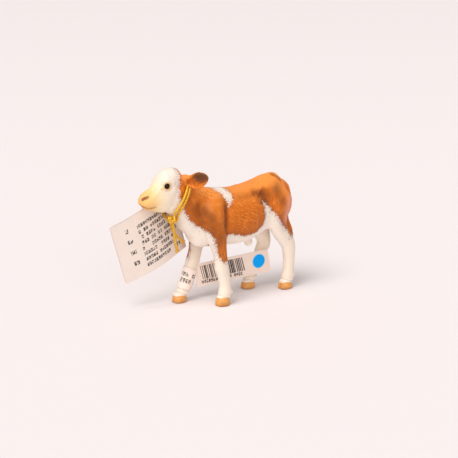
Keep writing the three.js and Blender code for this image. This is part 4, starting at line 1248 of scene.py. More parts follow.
def hide_material(coat):
    """Brown and white paint over moulded hair, feathered where they meet, with painted highlights and
    painted shade.
    """
    paint = Paint("painted_hide", roughness=0.48, Specular_IOR_Level=0.24)
    depth = paint.attribute("coat")
    run = paint.attribute("border")
    cavity = paint.attribute("cavity")
    up = paint.attribute("up")
    low = paint.attribute("low")
    across = paint.attribute("across")

    def drawn_out(along, inward, aside):
        """Noise with its own scales along the border, across it and across the body."""
        where = paint.vector(run * along, depth * inward, across * aside)
        return paint.noise(where, roughness=0.6) - 0.5

    broken = paint.noise(paint.vector(run * 0.55, across * 0.3, 11), detail=1) - 0.5
    teeth = drawn_out(2.0, 0.4, 1.6)
    fine = drawn_out(5.5, 0.9, 4.5)
    specks = drawn_out(3.4, 1.0, 3)
    edge = depth - low * 0.3 + broken * 1.8 + teeth * 2.4 + fine * 2.8
    brown_share = edge.step(-0.12, 0.16)
    place = paint.place()
    broad = paint.noise(place, scale=180, detail=3)
    mottled = paint.noise(place, scale=620, detail=3, roughness=0.6)
    combed = paint.noise(paint.mapped((0, 0.6, 0), (420, 1900, 1900)))
    # Masks for painted highlight on ridges and painted shade in grooves, read from the moulding's cavity
    ridge = cavity.step(-0.04, -0.42)
    groove = cavity.step(0.05, 0.5)
    brown = paint.mix(broad.step(0.35, 0.7) * 0.5, coat.brown, colour(228, 124, 26))
    brown = paint.mix(mottled.step(0.42, 0.75) * 0.3, brown, colour(196, 94, 18))
    # Painted highlight on up-facing parts
    brown = paint.mix(up.step(0.1, 0.95) * 0.66, brown, coat.highlight_brown)
    # Painted highlights along the listed strokes
    brown = paint.mix(paint.attribute("glow") * (mottled + 0.4), brown, coat.highlight_brown)
    # Painted highlight on the moulding's ridges, with lighter combed streaks
    brown = paint.mix(ridge * 0.5 + combed.step(0.55, 0.8) * 0.14, brown, coat.highlight_brown)
    # Painted shade where the coat faces down, and darker towards the bottom
    brown = paint.mix((up * -1).step(-0.1, 0.6) * 0.05 + low * 0.27, brown, coat.shaded_brown)
    # Painted shade in the grooves of the moulding
    brown = paint.mix(groove * 0.4, brown, coat.shaded_brown)
    # Painted shade in the hollows and along the listed forms
    brown = paint.mix(paint.attribute("wash") * (mottled * 0.5 + 0.6), brown, coat.shaded_brown)
    # Painted pinkish sheen behind the thigh
    brown = paint.mix(paint.attribute("sheen") * 0.5, brown, colour(236, 164, 138))
    # Random darker patches, and painted shade in the grooves
    white = paint.mix(broad * 0.2 + groove * 0.15, coat.white, coat.white_shade)
    # Warmer cream low on the legs, and painted light on the far hind leg, which stands in shade
    white = paint.mix(paint.attribute("leg") * 0.3, white, colour(244, 226, 200))
    near = edge.step(-3.6, -0.1)
    flecks = (specks + near * 0.22 - 0.2).step(0.0, 0.1)
    white = paint.mix(flecks * near * 0.85, white, coat.fringe)
    greys = edge.step(-1.6, 0.0) * (specks + 0.1).step(0.0, 0.2)
    white = paint.mix(greys * 0.35, white, colour(204, 192, 202))
    # Darker brown along the border, low on the body
    brown = paint.mix(edge.step(3.6, 0.3) * low * 0.1, brown, coat.shaded_brown)
    tips = edge.step(-1.5, -0.2) * specks.step(0.03, 0.1)
    white = paint.mix(tips * low * 0.6, white, colour(98, 70, 70))
    dark = edge.step(2.4, 0.2) * (specks * -1).step(-0.04, 0.12)
    brown = paint.mix(dark * 0.75, brown, colour(92, 54, 44))
    # Painted light: the white is lighter where it faces down
    white = paint.mix((up * -1).step(-0.1, 0.7) * 0.75, white, colour(254, 243, 231))
    white = paint.mix(paint.attribute("cream") * 0.8, white, colour(240, 212, 146))
    white = paint.mix(paint.attribute("muzzle") * (broad * 0.3 + 0.75), white, coat.muzzle)
    white = paint.mix(paint.attribute("eye_rim") * 0.8, white, colour(222, 164, 82))
    both = paint.mix(brown_share, white, brown)
    strokes = paint.noise(paint.mapped((0.5, 0.3, 0.6), (500, 2600, 2600))) - 0.5
    both = paint.mix((paint.attribute("ear") + strokes * 2.6).step(-0.1, 1.3) * 0.9, both, coat.ear)
    both = paint.mix(paint.attribute("mouth"), both, coat.line)
    paint.set("Base Color", both)
    paint.set("Roughness", mottled * 0.18 + 0.4)
    hairs = paint.noise(paint.mapped((0, 0.55, 0), (700, 3600, 3600)), roughness=0.6)
    grain = paint.noise(place, scale=9000, detail=1)
    paint.bump(hairs * 0.8 + grain * 0.2, 0.08 * MM, 0.5)
    return paint.material


class CALF_OT_hide(bpy.types.Operator):
    """The moulded calf: trunk, neck, head, ears, legs and tail in one painted skin"""

    bl_idname = "toy_calf.hide"
    bl_label = "Moulded body"

    def execute(self, context):
        coat = context.scene.toy_calf_coat
        hide = joined("hide", [merged_copy(node, SEAM_GROWTH) for node in BODY_NODES])
        only(hide)
        hide.data.remesh_voxel_size = coat.mesh_size
        hide.data.remesh_voxel_adaptivity = 0
        bpy.ops.object.voxel_remesh()
        largest_part(hide)
        skin = Skin(hide, toy_place())
        skin.smoothed(14, share=0.6)
        self.blend_seams(skin)
        skin.smoothed(20, share=0.6, back=0.62)
        skin.written()
        skin.raised(np.full(len(skin.places), SKIN_GROWTH - SEAM_GROWTH))
        shape_profile(skin)
        shape_ears(skin)
        shape_rump(skin)
        shape_sides(skin)
        shape_trunk(skin)
        shape_legs(skin)
        shape_head(skin)
        skin.smoothed(2)
        skin.written()
        shape_eyes(skin)
        skin.raised(hair(skin) * coat.hair_height / MM * 2)
        self.paint_fields(skin)
        modified(hide, "DECIMATE", ratio=coat.faces_kept)
        painted(rounded(hide), hide_material(coat), "calf", "coat", *BODY_NODES)
        return {"FINISHED"}

    def blend_seams(self, skin):
        """Softens where the shoulder and the thigh meet the trunk."""
        x, z = skin.places[:, 0], skin.places[:, 2]
        shoulder = smooth(x, 7, 10) * smooth(x, 25, 21) * smooth(z, 34, 38)
        thigh = smooth(x, -4, -7) * smooth(x, -27, -23) * smooth(z, 38, 41) * 0.6
        skin.smoothed(70, share=0.6, weight=np.maximum(shoulder, thigh)[:, None])

    def paint_fields(self, skin):
        """Stores what the paint reads at each vertex."""
        places, normals = skin.places, skin.normals
        side_view = places[:, [0, 2]]
        up = places[:, 2]
        depth, run = coat_field(places, normals)
        skin.stored("coat", depth)
        skin.stored("border", run)
        skin.stored("across", places[:, 1])
        skin.stored("cavity", skin.cavity(passes=6, depth=0.12))
        # Painted shade in the notches by the tail head and along the forms
        notch, _ = nearest_on(mirrored(places), TAIL_NOTCH)
        wash = 0.85 * bell(notch, 1.1)
        for line, radius, _, strength, fade in SIDE_FORMS:
            if strength:
                wash = np.maximum(wash, strength * stroke(side_view, line, radius, fade))
        skin.stored("wash", wash * smooth(up, 24, 30))
        glow = np.zeros(len(places))
        for line, radius, strength in PAINTED_HIGHLIGHTS:
            glow = np.maximum(glow, strength * stroke(side_view, line, radius, 0))
        skin.stored("glow", glow)
        self.face_fields(skin)
        skin.stored("up", skin.averaged(normals, passes=12)[:, 2])
        skin.stored("low", 1 - smooth(up, 30, 44))
        sheen = stroke(side_view, SHEEN_LINE, 2.0, 0)
        skin.stored("sheen", sheen * smooth(np.abs(normals[:, 1]), 0.1, 0.4) * 1.3)
        skin.stored("ear", ear_hollow(places, normals))
        # Twice as strong on the far hind leg: painted light where it stands in shade
        far = smooth(-places[:, 1], 1, 4) * smooth(places[:, 0], -5, -9)
        skin.stored("leg", (1 - smooth(up, 20, 32)) * (1 + far))

    def face_fields(self, skin):
        """The muzzle, the mouth's and nostrils' lines and the rims of the eyes."""
        local = head_places(skin.places)
        from_nose = np.linalg.norm(local - np.array(MUZZLE_MIDDLE), axis=1)
        skin.stored("muzzle", 1 - smooth(from_nose, 2.5, 9.5))
        skin.stored("cream", 1 - smooth(from_nose, 4.0, 15.0))
        both = mirrored(local)
        lips, _ = nearest_on(both, MOUTH)
        hole, _ = nearest_on(both, NOSTRIL)
        mouth = np.maximum(1 - smooth(lips, 0.2, 0.65), (1 - smooth(hole, 0.35, 1.0)) * 0.95)
        skin.stored("mouth", mouth * smooth(local[:, 0], 5, 7))
        corner = np.linalg.norm((both - np.array(EYE_CORNER)) / np.array(EYE_CORNER_SPREAD), axis=1)
        rim = 1 - smooth(eye_distance(skin.places), 1.5, 2.5)
        skin.stored("eye_rim", np.maximum(rim, 0.8 * (1 - smooth(corner, 0.4, 1.1))))


# Eyes and hooves, in millimetres

EYE_BULGE = 0.1
EYE_BULGE_REACH = 0.8
EYE_FRONT_COSINE = 0.93


def eye_material(trim):
    paint = Paint(
        "eye_gloss", roughness=0.35, Specular_IOR_Level=0.12, Coat_Weight=0.22, Coat_Roughness=0.1)
    cloud = paint.noise(paint.place(), scale=1600)
    paint.set("Base Color", paint.mix(cloud.step(0.45, 0.7) * 0.6, trim.eye, colour(40, 20, 14)))
    paint.set("Roughness", cloud * 0.1 + 0.3)
    return paint.material


class CALF_OT_eyes(bpy.types.Operator):
    """Two glossy eyes, each with a bulging front"""

    bl_idname = "toy_calf.eyes"
    bl_label = "Eyes"

    def execute(self, context):
        gloss = eye_material(context.scene.toy_calf_trim)
        for side, name in ((1, "left_eye"), (-1, "right_eye")):
            low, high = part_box(name)
            middle = (low + high) / 2
            radius = (high.x - low.x) / 2
            bpy.ops.mesh.primitive_uv_sphere_add(segments=40, ring_count=24, radius=radius, location=middle)
            eye = settled(named(bpy.context.object, name + "_gloss"))
            out = Vector((0.25, side, 0.1)).normalized()
            bpy.ops.object.mode_set(mode="EDIT")
            chosen(eye, lambda place: (place - middle).normalized().dot(out) > EYE_FRONT_COSINE)
            bpy.ops.transform.translate(
                value=out * EYE_BULGE * MM, use_proportional_edit=True,
                proportional_size=EYE_BULGE_REACH * MM, proportional_edit_falloff="SMOOTH")
            bpy.ops.object.mode_set(mode="OBJECT")
            painted(rounded(eye), gloss, "calf", "eye", name)
        return {"FINISHED"}


# Rows of a hoof from the sole up: the toe from its middle and its height, the heel's, and half the width.
HOOF_ROWS = [
    (2.98, 0.00, -2.78, 0.00, 2.40),
    (3.44, 0.45, -3.28, 0.40, 2.78),
    (3.30, 1.40, -3.26, 1.20, 2.80),
    (2.98, 2.70, -3.10, 2.20, 2.70),
    (2.62, 3.80, -2.90, 3.05, 2.50),
    (2.34, 4.40, -2.62, 3.60, 2.22),
    (1.60, 4.80, -1.90, 4.10, 1.60),
]
HOOF_SQUARENESS = 0.95
# The cleft: half its width, its depth in front and behind, and how much less deep it is a row further up
CLEFT_HALF_WIDTH = 0.42
CLEFT_FRONT = 0.75
CLEFT_BACK = 0.5
CLEFT_FADE = 0.12
# How high the tan paint goes on each hoof
HOOF_CORONETS = {
    "hoof_fore_left": 3.7, "hoof_fore_right": 3.1, "hoof_hind_left": 3.0, "hoof_hind_right": 3.0,
}


def hoof_material(trim, coat):
    paint = Paint("hoof_paint", roughness=0.42, Specular_IOR_Level=0.45)
    place = paint.place()
    broad = paint.noise(place, scale=420, detail=3)
    bands = paint.noise(paint.mapped(scale=(300, 300, 3600)), detail=3)
    # Painted shade in the hoof's grooves and cleft
    grooves = paint.attribute("cavity").step(0.02, 0.45)
    base = paint.mix(broad.step(0.35, 0.7) * 0.5, trim.hoof, colour(196, 128, 62))
    base = paint.mix(bands.step(0.5, 0.8) * 0.35, base, colour(236, 182, 118))
    coronet = paint.attribute("coronet")
    # Painted shade near the ground: darker towards the sole
    sole = (coronet * -1).step(1.5, 3.6)
    base = paint.mix(sole * (broad + 0.3) * 0.6, base, colour(168, 100, 44))
    base = paint.mix(grooves * 0.4, base, colour(130, 80, 40))
    ragged = paint.noise(place, scale=1300) - 0.5
    painted_over = (coronet + ragged * 0.5).step(-0.1, 0.12)
    white = paint.mix(broad * 0.4, coat.white, colour(240, 222, 198))
    paint.set("Base Color", paint.mix(painted_over, base, white))
    paint.set("Roughness", broad * 0.2 + 0.34)
    paint.bump(bands, 0.05 * MM, 0.6)
    return paint.material


class CALF_OT_hooves(bpy.types.Operator):
    """Four cloven hooves"""

    bl_idname = "toy_calf.hooves"
    bl_label = "Hooves"

    def execute(self, context):
        horn = hoof_material(context.scene.toy_calf_trim, context.scene.toy_calf_coat)
        pattern = self.pattern()
        for name, coronet in HOOF_CORONETS.items():
            low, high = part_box(name)
            hoof = pattern.copy()
            hoof.data = pattern.data.copy()
            context.scene.collection.objects.link(hoof)
            named(hoof, name + "_horn")
            middle = (low + high) / 2
            hoof.location = (middle.x, middle.y, 0)
            settled(hoof)
            skin = Skin(hoof, (0, 0, 0))
            x, y, z = (skin.places - np.array((middle.x, middle.y, 0)) / MM).T
            skin.stored("coronet", z - coronet + 0.45 - 0.16 * x - 1.0 * (y / 2.8) ** 2)
            painted(rounded(hoof), horn, "calf", "hoof", name)
        bpy.data.objects.remove(pattern)
        return {"FINISHED"}

    def pattern(self):
        """One hoof round the origin: its sole drawn up row by row, cleft in front and behind."""
        bpy.ops.mesh.primitive_circle_add(vertices=48, radius=1, fill_type="NGON", location=(0, 0, 0))
        hoof = named(bpy.context.object, "hoof_pattern")
        bpy.ops.object.mode_set(mode="EDIT")
        for row in range(1, len(HOOF_ROWS)):
            chosen(hoof, lambda place: place.z > row - 1.5)
            bpy.ops.mesh.extrude_region_move(TRANSFORM_OT_translate={"value": (0, 0, 1)})
        net = bmesh.from_edit_mesh(hoof.data)
        for vertex in net.verts:
            row = round(vertex.co.z)
            toe, toe_up, heel, heel_up, half = HOOF_ROWS[row]
            angle = math.atan2(vertex.co.y, vertex.co.x)
            parts = (math.cos(angle), math.sin(angle))
            ahead, aside = (math.copysign(abs(part) ** HOOF_SQUARENESS, part) for part in parts)
            share = (ahead + 1) / 2
            split = math.exp(-(aside * half / CLEFT_HALF_WIDTH) ** 2)
            cleft = split * (CLEFT_FRONT if ahead > 0 else CLEFT_BACK) * (1 - CLEFT_FADE * row)
            vertex.co.x = (blend(heel, toe, share) - math.copysign(cleft, ahead)) * MM
            vertex.co.y = aside * half * MM
            vertex.co.z = blend(heel_up, toe_up, share) * MM
        bmesh.update_edit_mesh(hoof.data)
        bpy.ops.mesh.select_all(action="SELECT")
        bpy.ops.mesh.normals_make_consistent(inside=False)
        bpy.ops.object.mode_set(mode="OBJECT")
        modified(hoof, "SUBSURF", levels=1, render_levels=1)
        skin = Skin(hoof, (0, 0, 0))
        skin.stored("cavity", skin.cavity(passes=5, depth=0.15))
        return hoof


# Paper. The print is in millimetres from the page's fold and foot, and from the flag's start and middle.

PAGE_PITCH = 2.72
PAGE_LINES_START = 2.4
PAGE_LINES_END = 22.6
PAGE_SHORT_MARKS = (25.6, 28.4)
BAR_PITCH = 0.86
BAR_LEAN = 0.22
BAR_GROUPS = ((2.4, 11.4), (12.6, 23.8))
BAR_HEIGHTS = (-2.3, 4.0)
DIGIT_SPAN = (2.2, 22.8)
DIGIT_HEIGHTS = (-4.1, -2.6)
SLEEVE_SPAN = (-5.0, 5.2)
SLEEVE_LINES = ((6.3, 8.1), (3.7, 5.5))


def leaflet_yaw(distance):
    return math.radians(blend(*LEAFLET_YAW_DEG, smooth(distance, *LEAFLET_BEND_MM)))


def leaflet_line():
    """The page seen from above: places along it and headings, at equal distances from its fold."""
    step = LEAFLET_LENGTH / LEAFLET_STEPS
    x = y = 0
    line = [(x, y, leaflet_yaw(0))]
    for index in range(LEAFLET_STEPS):
        yaw = leaflet_yaw((index + 0.5) * step)
        x += math.cos(yaw) * step
        y += math.sin(yaw) * step
        line.append((x, y, leaflet_yaw((index + 1) * step)))
    return line


def leaflet_frame():
    turn = Matrix.Rotation(math.radians(LEAFLET_LEAN_DEG), 4, "X")
    turn = turn @ Matrix.Rotation(math.radians(LEAFLET_PITCH_DEG), 4, "Y")
    return Matrix.Translation(hang_point()) @ turn


def greeked(paint, across, up, start, end, letter, row, seed):
    """Marks like letters on one line: made-up strokes with gaps between words."""
    moved = across / letter + row * 0.37 + seed
    cell = moved.floor()
    pick = paint.chance(cell + row * 19 + seed * 3.7)
    places = paint.vector(across * (3.0 / letter), up * 2.2, cell * 0.61 + row * 5.3)
    strokes = paint.noise(places, detail=0).step(0.37, 0.44)
    marks = strokes * (abs(moved.part() - 0.5) < 0.41)
    return marks * (pick > 0.13) * across.within(start, end)


def paper_material(name, base, prints):
    paint = Paint(name, roughness=0.62, Specular_IOR_Level=0.35)
    place = paint.place()
    fibres = paint.noise(place, scale=2600, detail=3, roughness=0.7)
    clouds = paint.noise(place, scale=120)
    base = paint.mix(clouds.step(0.3, 0.75) * 0.35, base, darker(base, 0.9))
    base = paint.mix(fibres * 0.12, base, colour(255, 246, 238))
    paint.set("Base Color", prints(paint, base))
    paint.set("Roughness", fibres * 0.15 + 0.5)
    paint.bump(fibres, 0.02 * MM, 0.35)
    return paint.material


def page_print(ink):
    """Eight slanted lines of marks on the page and four short marks beside them."""
    def prints(paint, base):
        across, up = paint.uv("page")
        level = up / PAGE_PITCH
        row = level.floor()
        height = level.part()
        start = paint.chance(row) * 3 + PAGE_LINES_START
        body = greeked(paint, across, height * 2, start, PAGE_LINES_END, letter=1.25, row=row, seed=2.3)
        lines = body * height.within(0.2, 0.82) * row.within(0.5, 8.5)
        wide = up / (PAGE_PITCH * 2) + 0.1
        short = wide.part().within(0.27, 0.64) * wide.floor().within(0.5, 4.5)
        beside = greeked(
            paint, across, wide * 3, *PAGE_SHORT_MARKS, letter=1.45, row=wide.floor(), seed=5.1)
        return paint.mix((lines + beside * short).least(1) * 0.93, base, ink)
    return prints


def flag_print(ink):
    """Two groups of bars with a row of small marks below them."""
    def prints(paint, base):
        across, up = paint.uv("page")
        leaning = across + up * BAR_LEAN
        step = leaning / BAR_PITCH
        pick = paint.chance(step.floor() + 57)
        first, second = (leaning.within(*group) for group in BAR_GROUPS)
        wide = step.part().within(0.08, pick * 0.45 + 0.4)
        thin = step.part().within(0.84, 0.95) * (pick > 0.4)
        bars = wide.most(thin) * first.most(second) * up.within(*BAR_HEIGHTS)
        digits = greeked(paint, across, up * 1.2, *DIGIT_SPAN, letter=1.15, row=0, seed=1.9)
        digits = digits * up.within(*DIGIT_HEIGHTS)
        return paint.mix((bars + digits).least(1) * paint.attribute("front") * 0.95, base, ink)
    return prints


def sleeve_print(ink):
    """Two lines of marks round the leg."""
    def prints(paint, base):
        across, up = paint.uv("page")
        upper, lower = (up.within(*heights) for heights in SLEEVE_LINES)
        words = greeked(paint, across, up * 0.9, *SLEEVE_SPAN, letter=1.4, row=upper, seed=0.7)
        return paint.mix(words * upper.most(lower) * 0.85, base, ink)
    return prints


class CALF_OT_leaflet(bpy.types.Operator):
    """The folded leaflet that hangs on the cord, punched for it"""

    bl_idname = "toy_calf.leaflet"
    bl_label = "Leaflet"

    def execute(self, context):
        paper = context.scene.toy_calf_paper
        sheet = paper_sheet("leaflet_sheet", columns=LEAFLET_STEPS * 2, rows=48)
        leaf = self.leaf_shape(leaflet_line())
        turn = leaflet_frame()
        hole = leaf(HANG_HOLE_FROM_FOLD, 0)
        spots = []
        for vertex in sheet.data.vertices:
            distance = abs(vertex.co.x) * 2 * LEAFLET_LENGTH
            high = vertex.co.y + 0.5
            x, y = leaf(distance, 1 if vertex.co.x <= 0 else -1)
            up = high * LEAFLET_HEIGHT + HANG_HOLE_FROM_TOP - LEAFLET_HEIGHT
            up -= CORNER_DROOP * smooth(distance, CORNER_DROOP_FROM, LEAFLET_LENGTH) * high
            vertex.co = part_point(turn @ Vector((x - hole[0], y - hole[1], up)))
            spots.append((distance, high * LEAFLET_HEIGHT))
        laid_out(sheet, spots)
        modified(sheet, "SOLIDIFY", thickness=paper.thickness, offset=0)
        self.punched(sheet, turn)
        printed = paper_material("leaflet_paper", paper.page, page_print(paper.ink))
        painted(rounded(sheet, 40), printed, "hanging_leaflet", "leaflet_paper", "leaflet")
        return {"FINISHED"}

    def leaf_shape(self, line):
        """Where a point of the folded sheet lies, from its distance to the fold and its leaf."""
        depth = PAPER_THICKNESS * 2 + LEAF_GAP
        half = (depth - PAPER_THICKNESS) / 2

        def leaf(distance, side):
            share = min(max(distance / LEAFLET_LENGTH, 0), 1) * (len(line) - 1)
            index = min(int(share), len(line) - 2)
            x, y, yaw = (blend(a, b, share - index) for a, b in zip(line[index], line[index + 1]))
            opening = 1 + OPENING_SHARE * smooth(distance, OPENING_FROM, LEAFLET_LENGTH)
            bend = math.sqrt(max(1 - (1 - min(distance / half, 1)) ** 2, 0))
            lift = depth / 2 - side * half * bend * (opening if side < 0 else 1)
            return x + math.sin(yaw) * lift, y - math.cos(yaw) * lift
        return leaf

    def punched(self, sheet, turn):
        """The sheet with its hole cut square through both leaves."""
        yaw = Matrix.Rotation(math.radians(LEAFLET_YAW_DEG[0]), 3, "Z")
        axis = (turn.to_3x3() @ yaw) @ Vector((0, 1, 0))
        bpy.ops.mesh.primitive_cylinder_add(
            vertices=48, radius=HANG_HOLE_DIAMETER / 2 * MM, depth=8 * MM,
            location=part_point(hang_point()))
        punch = bpy.context.object
        punch.rotation_euler = axis.to_track_quat("Z", "Y").to_euler()
        modified(sheet, "BOOLEAN", operation="DIFFERENCE", object=punch, solver="EXACT")
        bpy.data.objects.remove(punch)


def flag_frame():
    heading, rise = math.radians(FLAG_HEADING_DEG), math.radians(FLAG_RISE_DEG)
    along = Vector((math.cos(heading) * math.cos(rise), math.sin(heading) * math.cos(rise), math.sin(rise)))
    side = Vector((math.sin(heading), -math.cos(heading), 0))
    up = side.cross(along)
    turn = Matrix((along, up, side)).transposed().to_4x4()
    return Matrix.Translation(FLAG_START) @ turn


class CALF_OT_label(bpy.types.Operator):
    """The paper label: a sleeve round the right foreleg and its two ends stuck together as a flag"""

    bl_idname = "toy_calf.label"
    bl_label = "Leg label"

    def execute(self, context):
        paper = context.scene.toy_calf_paper
        sleeve = self.sleeve()
        flag = self.flag()
        bars = paper_material("label_paper", paper.label, flag_print(paper.ink))
        words = paper_material("sleeve_paper", paper.label, sleeve_print(paper.ink))
        flag.data.materials.append(bars)
        sleeve.data.materials.append(words)
        label = joined("leg_label_paper", [flag, sleeve])
        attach(label, "calf")
        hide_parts("leg_label")
        rounded(label, 35)
        return {"FINISHED"}

    def sleeve(self):
        """A strip drawn close round the leg."""
        foot, top = in_part([SLEEVE_FOOT, SLEEVE_TOP])
        run = top - foot
        bpy.ops.mesh.primitive_cylinder_add(
            vertices=64, radius=SLEEVE_START_RADIUS * MM, depth=run.length, end_fill_type="NOTHING",
            location=(foot + top) / 2)
        sleeve = named(bpy.context.object, "sleeve")
        sleeve.rotation_euler = run.to_track_quat("Z", "Y").to_euler()
        settled(sleeve)
        bpy.ops.object.mode_set(mode="EDIT")
        bpy.ops.mesh.select_all(action="SELECT")
        bpy.ops.mesh.subdivide(number_cuts=10, quadcorner="INNERVERT")
        bpy.ops.object.mode_set(mode="OBJECT")
        forward = run.normalized()
        aside = Vector((0, 1, 0))
        front = aside.cross(forward)
        spots = []
        for vertex in sleeve.data.vertices:
            local = vertex.co - foot
            flat = local - forward * local.dot(forward)
            angle = math.atan2(flat.dot(front), flat.dot(aside))
            spots.append((-angle * SLEEVE_RADIUS, local.dot(forward) / MM))
        laid_out(sleeve, spots)
        modified(
            sleeve, "SHRINKWRAP", target=bpy.data.objects["hide"], wrap_method="NEAREST_SURFACEPOINT",
            wrap_mode="OUTSIDE_SURFACE", offset=SLEEVE_CLEARANCE * MM)
        modified(sleeve, "SMOOTH", factor=0.5, iterations=24)
        modified(sleeve, "SOLIDIFY", thickness=SLEEVE_THICKNESS * MM, offset=1)
        return sleeve

    def flag(self):
        """The flag: a strip with rounded far corners, bowed a little along its length."""
        flag = paper_sheet("flag", columns=60, rows=16)
        turn = flag_frame()
        spots = []
        for vertex in flag.data.vertices:
            along = (vertex.co.x + 0.5) * FLAG_LENGTH
            up = vertex.co.y * LABEL_HEIGHT
            over = along - (FLAG_LENGTH - FLAG_CORNER)
            if over > 0:
                limit = LABEL_HEIGHT / 2 - FLAG_CORNER + math.sqrt(max(FLAG_CORNER ** 2 - over ** 2, 0))
                up = max(min(up, limit), -limit)
            bow = FLAG_BOW * math.sin(along / FLAG_LENGTH * math.pi) - FLAG_BOW / 2
            slant = FLAG_END_SLANT * up * smooth(along, FLAG_SLANT_FROM, FLAG_LENGTH)
            vertex.co = part_point(turn @ Vector((along - slant, up, bow)))
            spots.append((along, up))
        laid_out(flag, spots)
        modified(flag, "SOLIDIFY", thickness=FLAG_THICKNESS * MM, offset=0)
        side = turn.to_3x3() @ Vector((0, 0, 1))
        front = flag.data.attributes.new("front", "FLOAT", "FACE")
        for face in flag.data.polygons:
            front.data[face.index].value = float(face.normal.dot(side) > 0.5)
        return flag


def dot_material(paper):
    paint = Paint("dot_paper", roughness=0.6, Specular_IOR_Level=0.12)
    fibres = paint.noise(paint.place(), scale=2200, detail=3, roughness=0.7)
    rim = paint.attribute("rim")
    base = paint.mix(fibres.step(0.3, 0.8) * 0.3, paper.dot, darker(paper.dot, 0.82))
    paint.set("Base Color", paint.mix(rim.step(0.4, 0.6), base, colour(170, 214, 236)))
    paint.set("Roughness", fibres * 0.12 + 0.4)
    paint.bump(fibres, 0.015 * MM, 0.3)
    return paint.material


class CALF_OT_dot(bpy.types.Operator):
    """The round blue sticker on the flag"""

    bl_idname = "toy_calf.dot"
    bl_label = "Round sticker"

    def execute(self, context):
        paper = context.scene.toy_calf_paper
        radius = DOT_DIAMETER / 2
        bpy.ops.mesh.primitive_circle_add(
            vertices=96, radius=radius * MM, fill_type="NGON", location=(0, 0, 0))
        dot = named(bpy.context.object, "price_dot_paper")
        bpy.ops.object.mode_set(mode="EDIT")
        bpy.ops.mesh.select_all(action="SELECT")
        bpy.ops.mesh.inset(thickness=DOT_EDGE * MM, depth=0)
        bpy.ops.mesh.inset(thickness=DOT_EDGE * MM, depth=DOT_EDGE_RISE * MM)
        bpy.ops.object.mode_set(mode="OBJECT")
        rim = dot.data.attributes.new("rim", "FLOAT", "POINT")
        for vertex in dot.data.vertices:
            rim.data[vertex.index].value = float(vertex.co.length > (radius - DOT_EDGE * 1.5) * MM)
        modified(dot, "SOLIDIFY", thickness=DOT_THICKNESS * MM, offset=-1)
        turn = flag_frame()
        turn.translation = part_point(turn.translation)
        dot.data.transform(turn @ Matrix.Translation(Vector((DOT_DISTANCE, DOT_RISE, DOT_LIFT)) * MM))
        painted(rounded(dot, 40), dot_material(paper), "calf", "dot_paper", "price_dot")
        return {"FINISHED"}


# Stage

class CALF_OT_camera(bpy.types.Operator):
    """The camera at the picture's angle"""

    bl_idname = "toy_calf.camera"
    bl_label = "Camera"

    def execute(self, context):
        stage = context.scene.toy_calf_stage
        azimuth, elevation = math.radians(stage.azimuth_deg), math.radians(stage.elevation_deg)
        out = Vector((
            math.sin(azimuth) * math.cos(elevation),
            -math.cos(azimuth) * math.cos(elevation),
            math.sin(elevation),
        ))
        data = bpy.data.cameras.new("camera")
        camera = bpy.data.objects.new("camera", data)
        context.scene.collection.objects.link(camera)
        camera.location = part_point(AIM) + out * stage.distance
        camera.rotation_euler = (-out).to_track_quat("-Z", "Y").to_euler()
        data.sensor_width = SENSOR_WIDTH
        data.lens = SENSOR_WIDTH * stage.distance / stage.pixel / PHOTO_PIXELS
        data.clip_start = 0.01
        context.scene.camera = camera
        return {"FINISHED"}


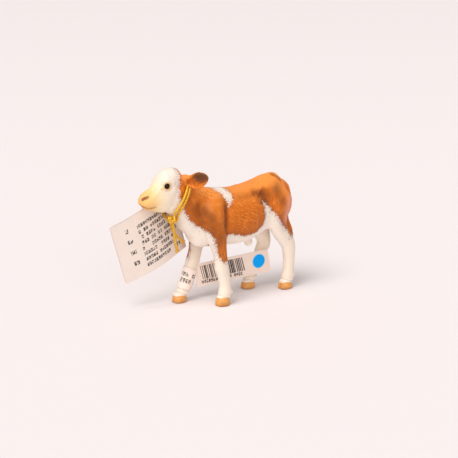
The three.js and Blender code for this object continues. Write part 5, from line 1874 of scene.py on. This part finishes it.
class CALF_OT_stage(bpy.types.Operator):
    """The pale floor and the soft studio light"""

    bl_idname = "toy_calf.stage"
    bl_label = "Stage"

    def execute(self, context):
        stage = context.scene.toy_calf_stage
        scene = context.scene
        scene.view_settings.view_transform = "Standard"
        deselected()
        bpy.ops.mesh.primitive_plane_add(size=FLOOR_SIZE_M, location=(0, 0, 0))
        floor = named(bpy.context.object, "floor")
        paint = Paint("floor_card", roughness=0.85, Specular_IOR_Level=0.1)
        # Painted shade: the floor grows a little darker away from the camera, where the light falls off
        _, away, _ = paint.split(paint.mapped((0, 0, -math.radians(stage.azimuth_deg))))
        grain = paint.noise(paint.place(), scale=4)
        tone = paint.mix(grain * 0.08, stage.floor, darker(stage.floor, 0.96))
        paint.set("Base Color", paint.mix(away.step(0.0, 1.1), tone, darker(stage.floor, 0.95)))
        floor.data.materials.append(paint.material)
        self.lamp("key", stage.key, KEY_TILTS_DEG, KEY_SPREAD_DEG)
        self.lamp("front", stage.front, FRONT_TILTS_DEG, FRONT_SPREAD_DEG)
        world = scene.world or bpy.data.worlds.new("world")
        scene.world = world
        world.use_nodes = True
        back = world.node_tree.nodes["Background"]
        back.inputs["Color"].default_value = SKY_COLOUR
        back.inputs["Strength"].default_value = stage.sky
        return {"FINISHED"}

    def lamp(self, name, strength, tilts_deg, spread_deg):
        """A distant lamp, tilted from overhead to the camera's right and towards the camera."""
        data = bpy.data.lights.new(name, "SUN")
        data.energy = strength
        data.angle = math.radians(spread_deg)
        lamp = bpy.data.objects.new(name, data)
        bpy.context.scene.collection.objects.link(lamp)
        azimuth = math.radians(bpy.context.scene.toy_calf_stage.azimuth_deg)
        toward = Vector((math.sin(azimuth), -math.cos(azimuth), 0))
        right = Vector((math.cos(azimuth), math.sin(azimuth), 0))
        side, near = (math.tan(math.radians(tilt)) for tilt in tilts_deg)
        from_where = (Vector((0, 0, 1)) + right * side + toward * near).normalized()
        lamp.rotation_euler = from_where.to_track_quat("Z", "Y").to_euler()


STEPS = (CALF_OT_camera, CALF_OT_cords, CALF_OT_hide, CALF_OT_eyes, CALF_OT_hooves, CALF_OT_leaflet,
         CALF_OT_label, CALF_OT_dot, CALF_OT_stage)
SETTINGS = {
    "toy_calf_coat": CoatSettings,
    "toy_calf_trim": TrimSettings,
    "toy_calf_paper": PaperSettings,
    "toy_calf_stage": StageSettings,
}


class CALF_PT_panel(bpy.types.Panel):
    """Lists the steps that make the toy calf"""

    bl_idname = "CALF_PT_panel"
    bl_label = "Toy calf"
    bl_space_type = "VIEW_3D"
    bl_region_type = "UI"
    bl_category = "Toy calf"

    def draw(self, context):
        for step in STEPS:
            self.layout.operator(step.bl_idname)
        for name, group in SETTINGS.items():
            box = self.layout.box()
            for key in group.__annotations__:
                box.prop(getattr(context.scene, name), key)


def register():
    for group in SETTINGS.values():
        bpy.utils.register_class(group)
    for step in (*STEPS, CALF_PT_panel):
        bpy.utils.register_class(step)
    for name, group in SETTINGS.items():
        setattr(bpy.types.Scene, name, PointerProperty(type=group))


def unregister():
    for name in SETTINGS:
        delattr(bpy.types.Scene, name)
    for step in (CALF_PT_panel, *reversed(STEPS), *SETTINGS.values()):
        bpy.utils.unregister_class(step)


def main():
    register()
    for step in STEPS:
        getattr(bpy.ops.toy_calf, step.bl_idname.removeprefix("toy_calf."))()


if __name__ == "__main__":
    main()
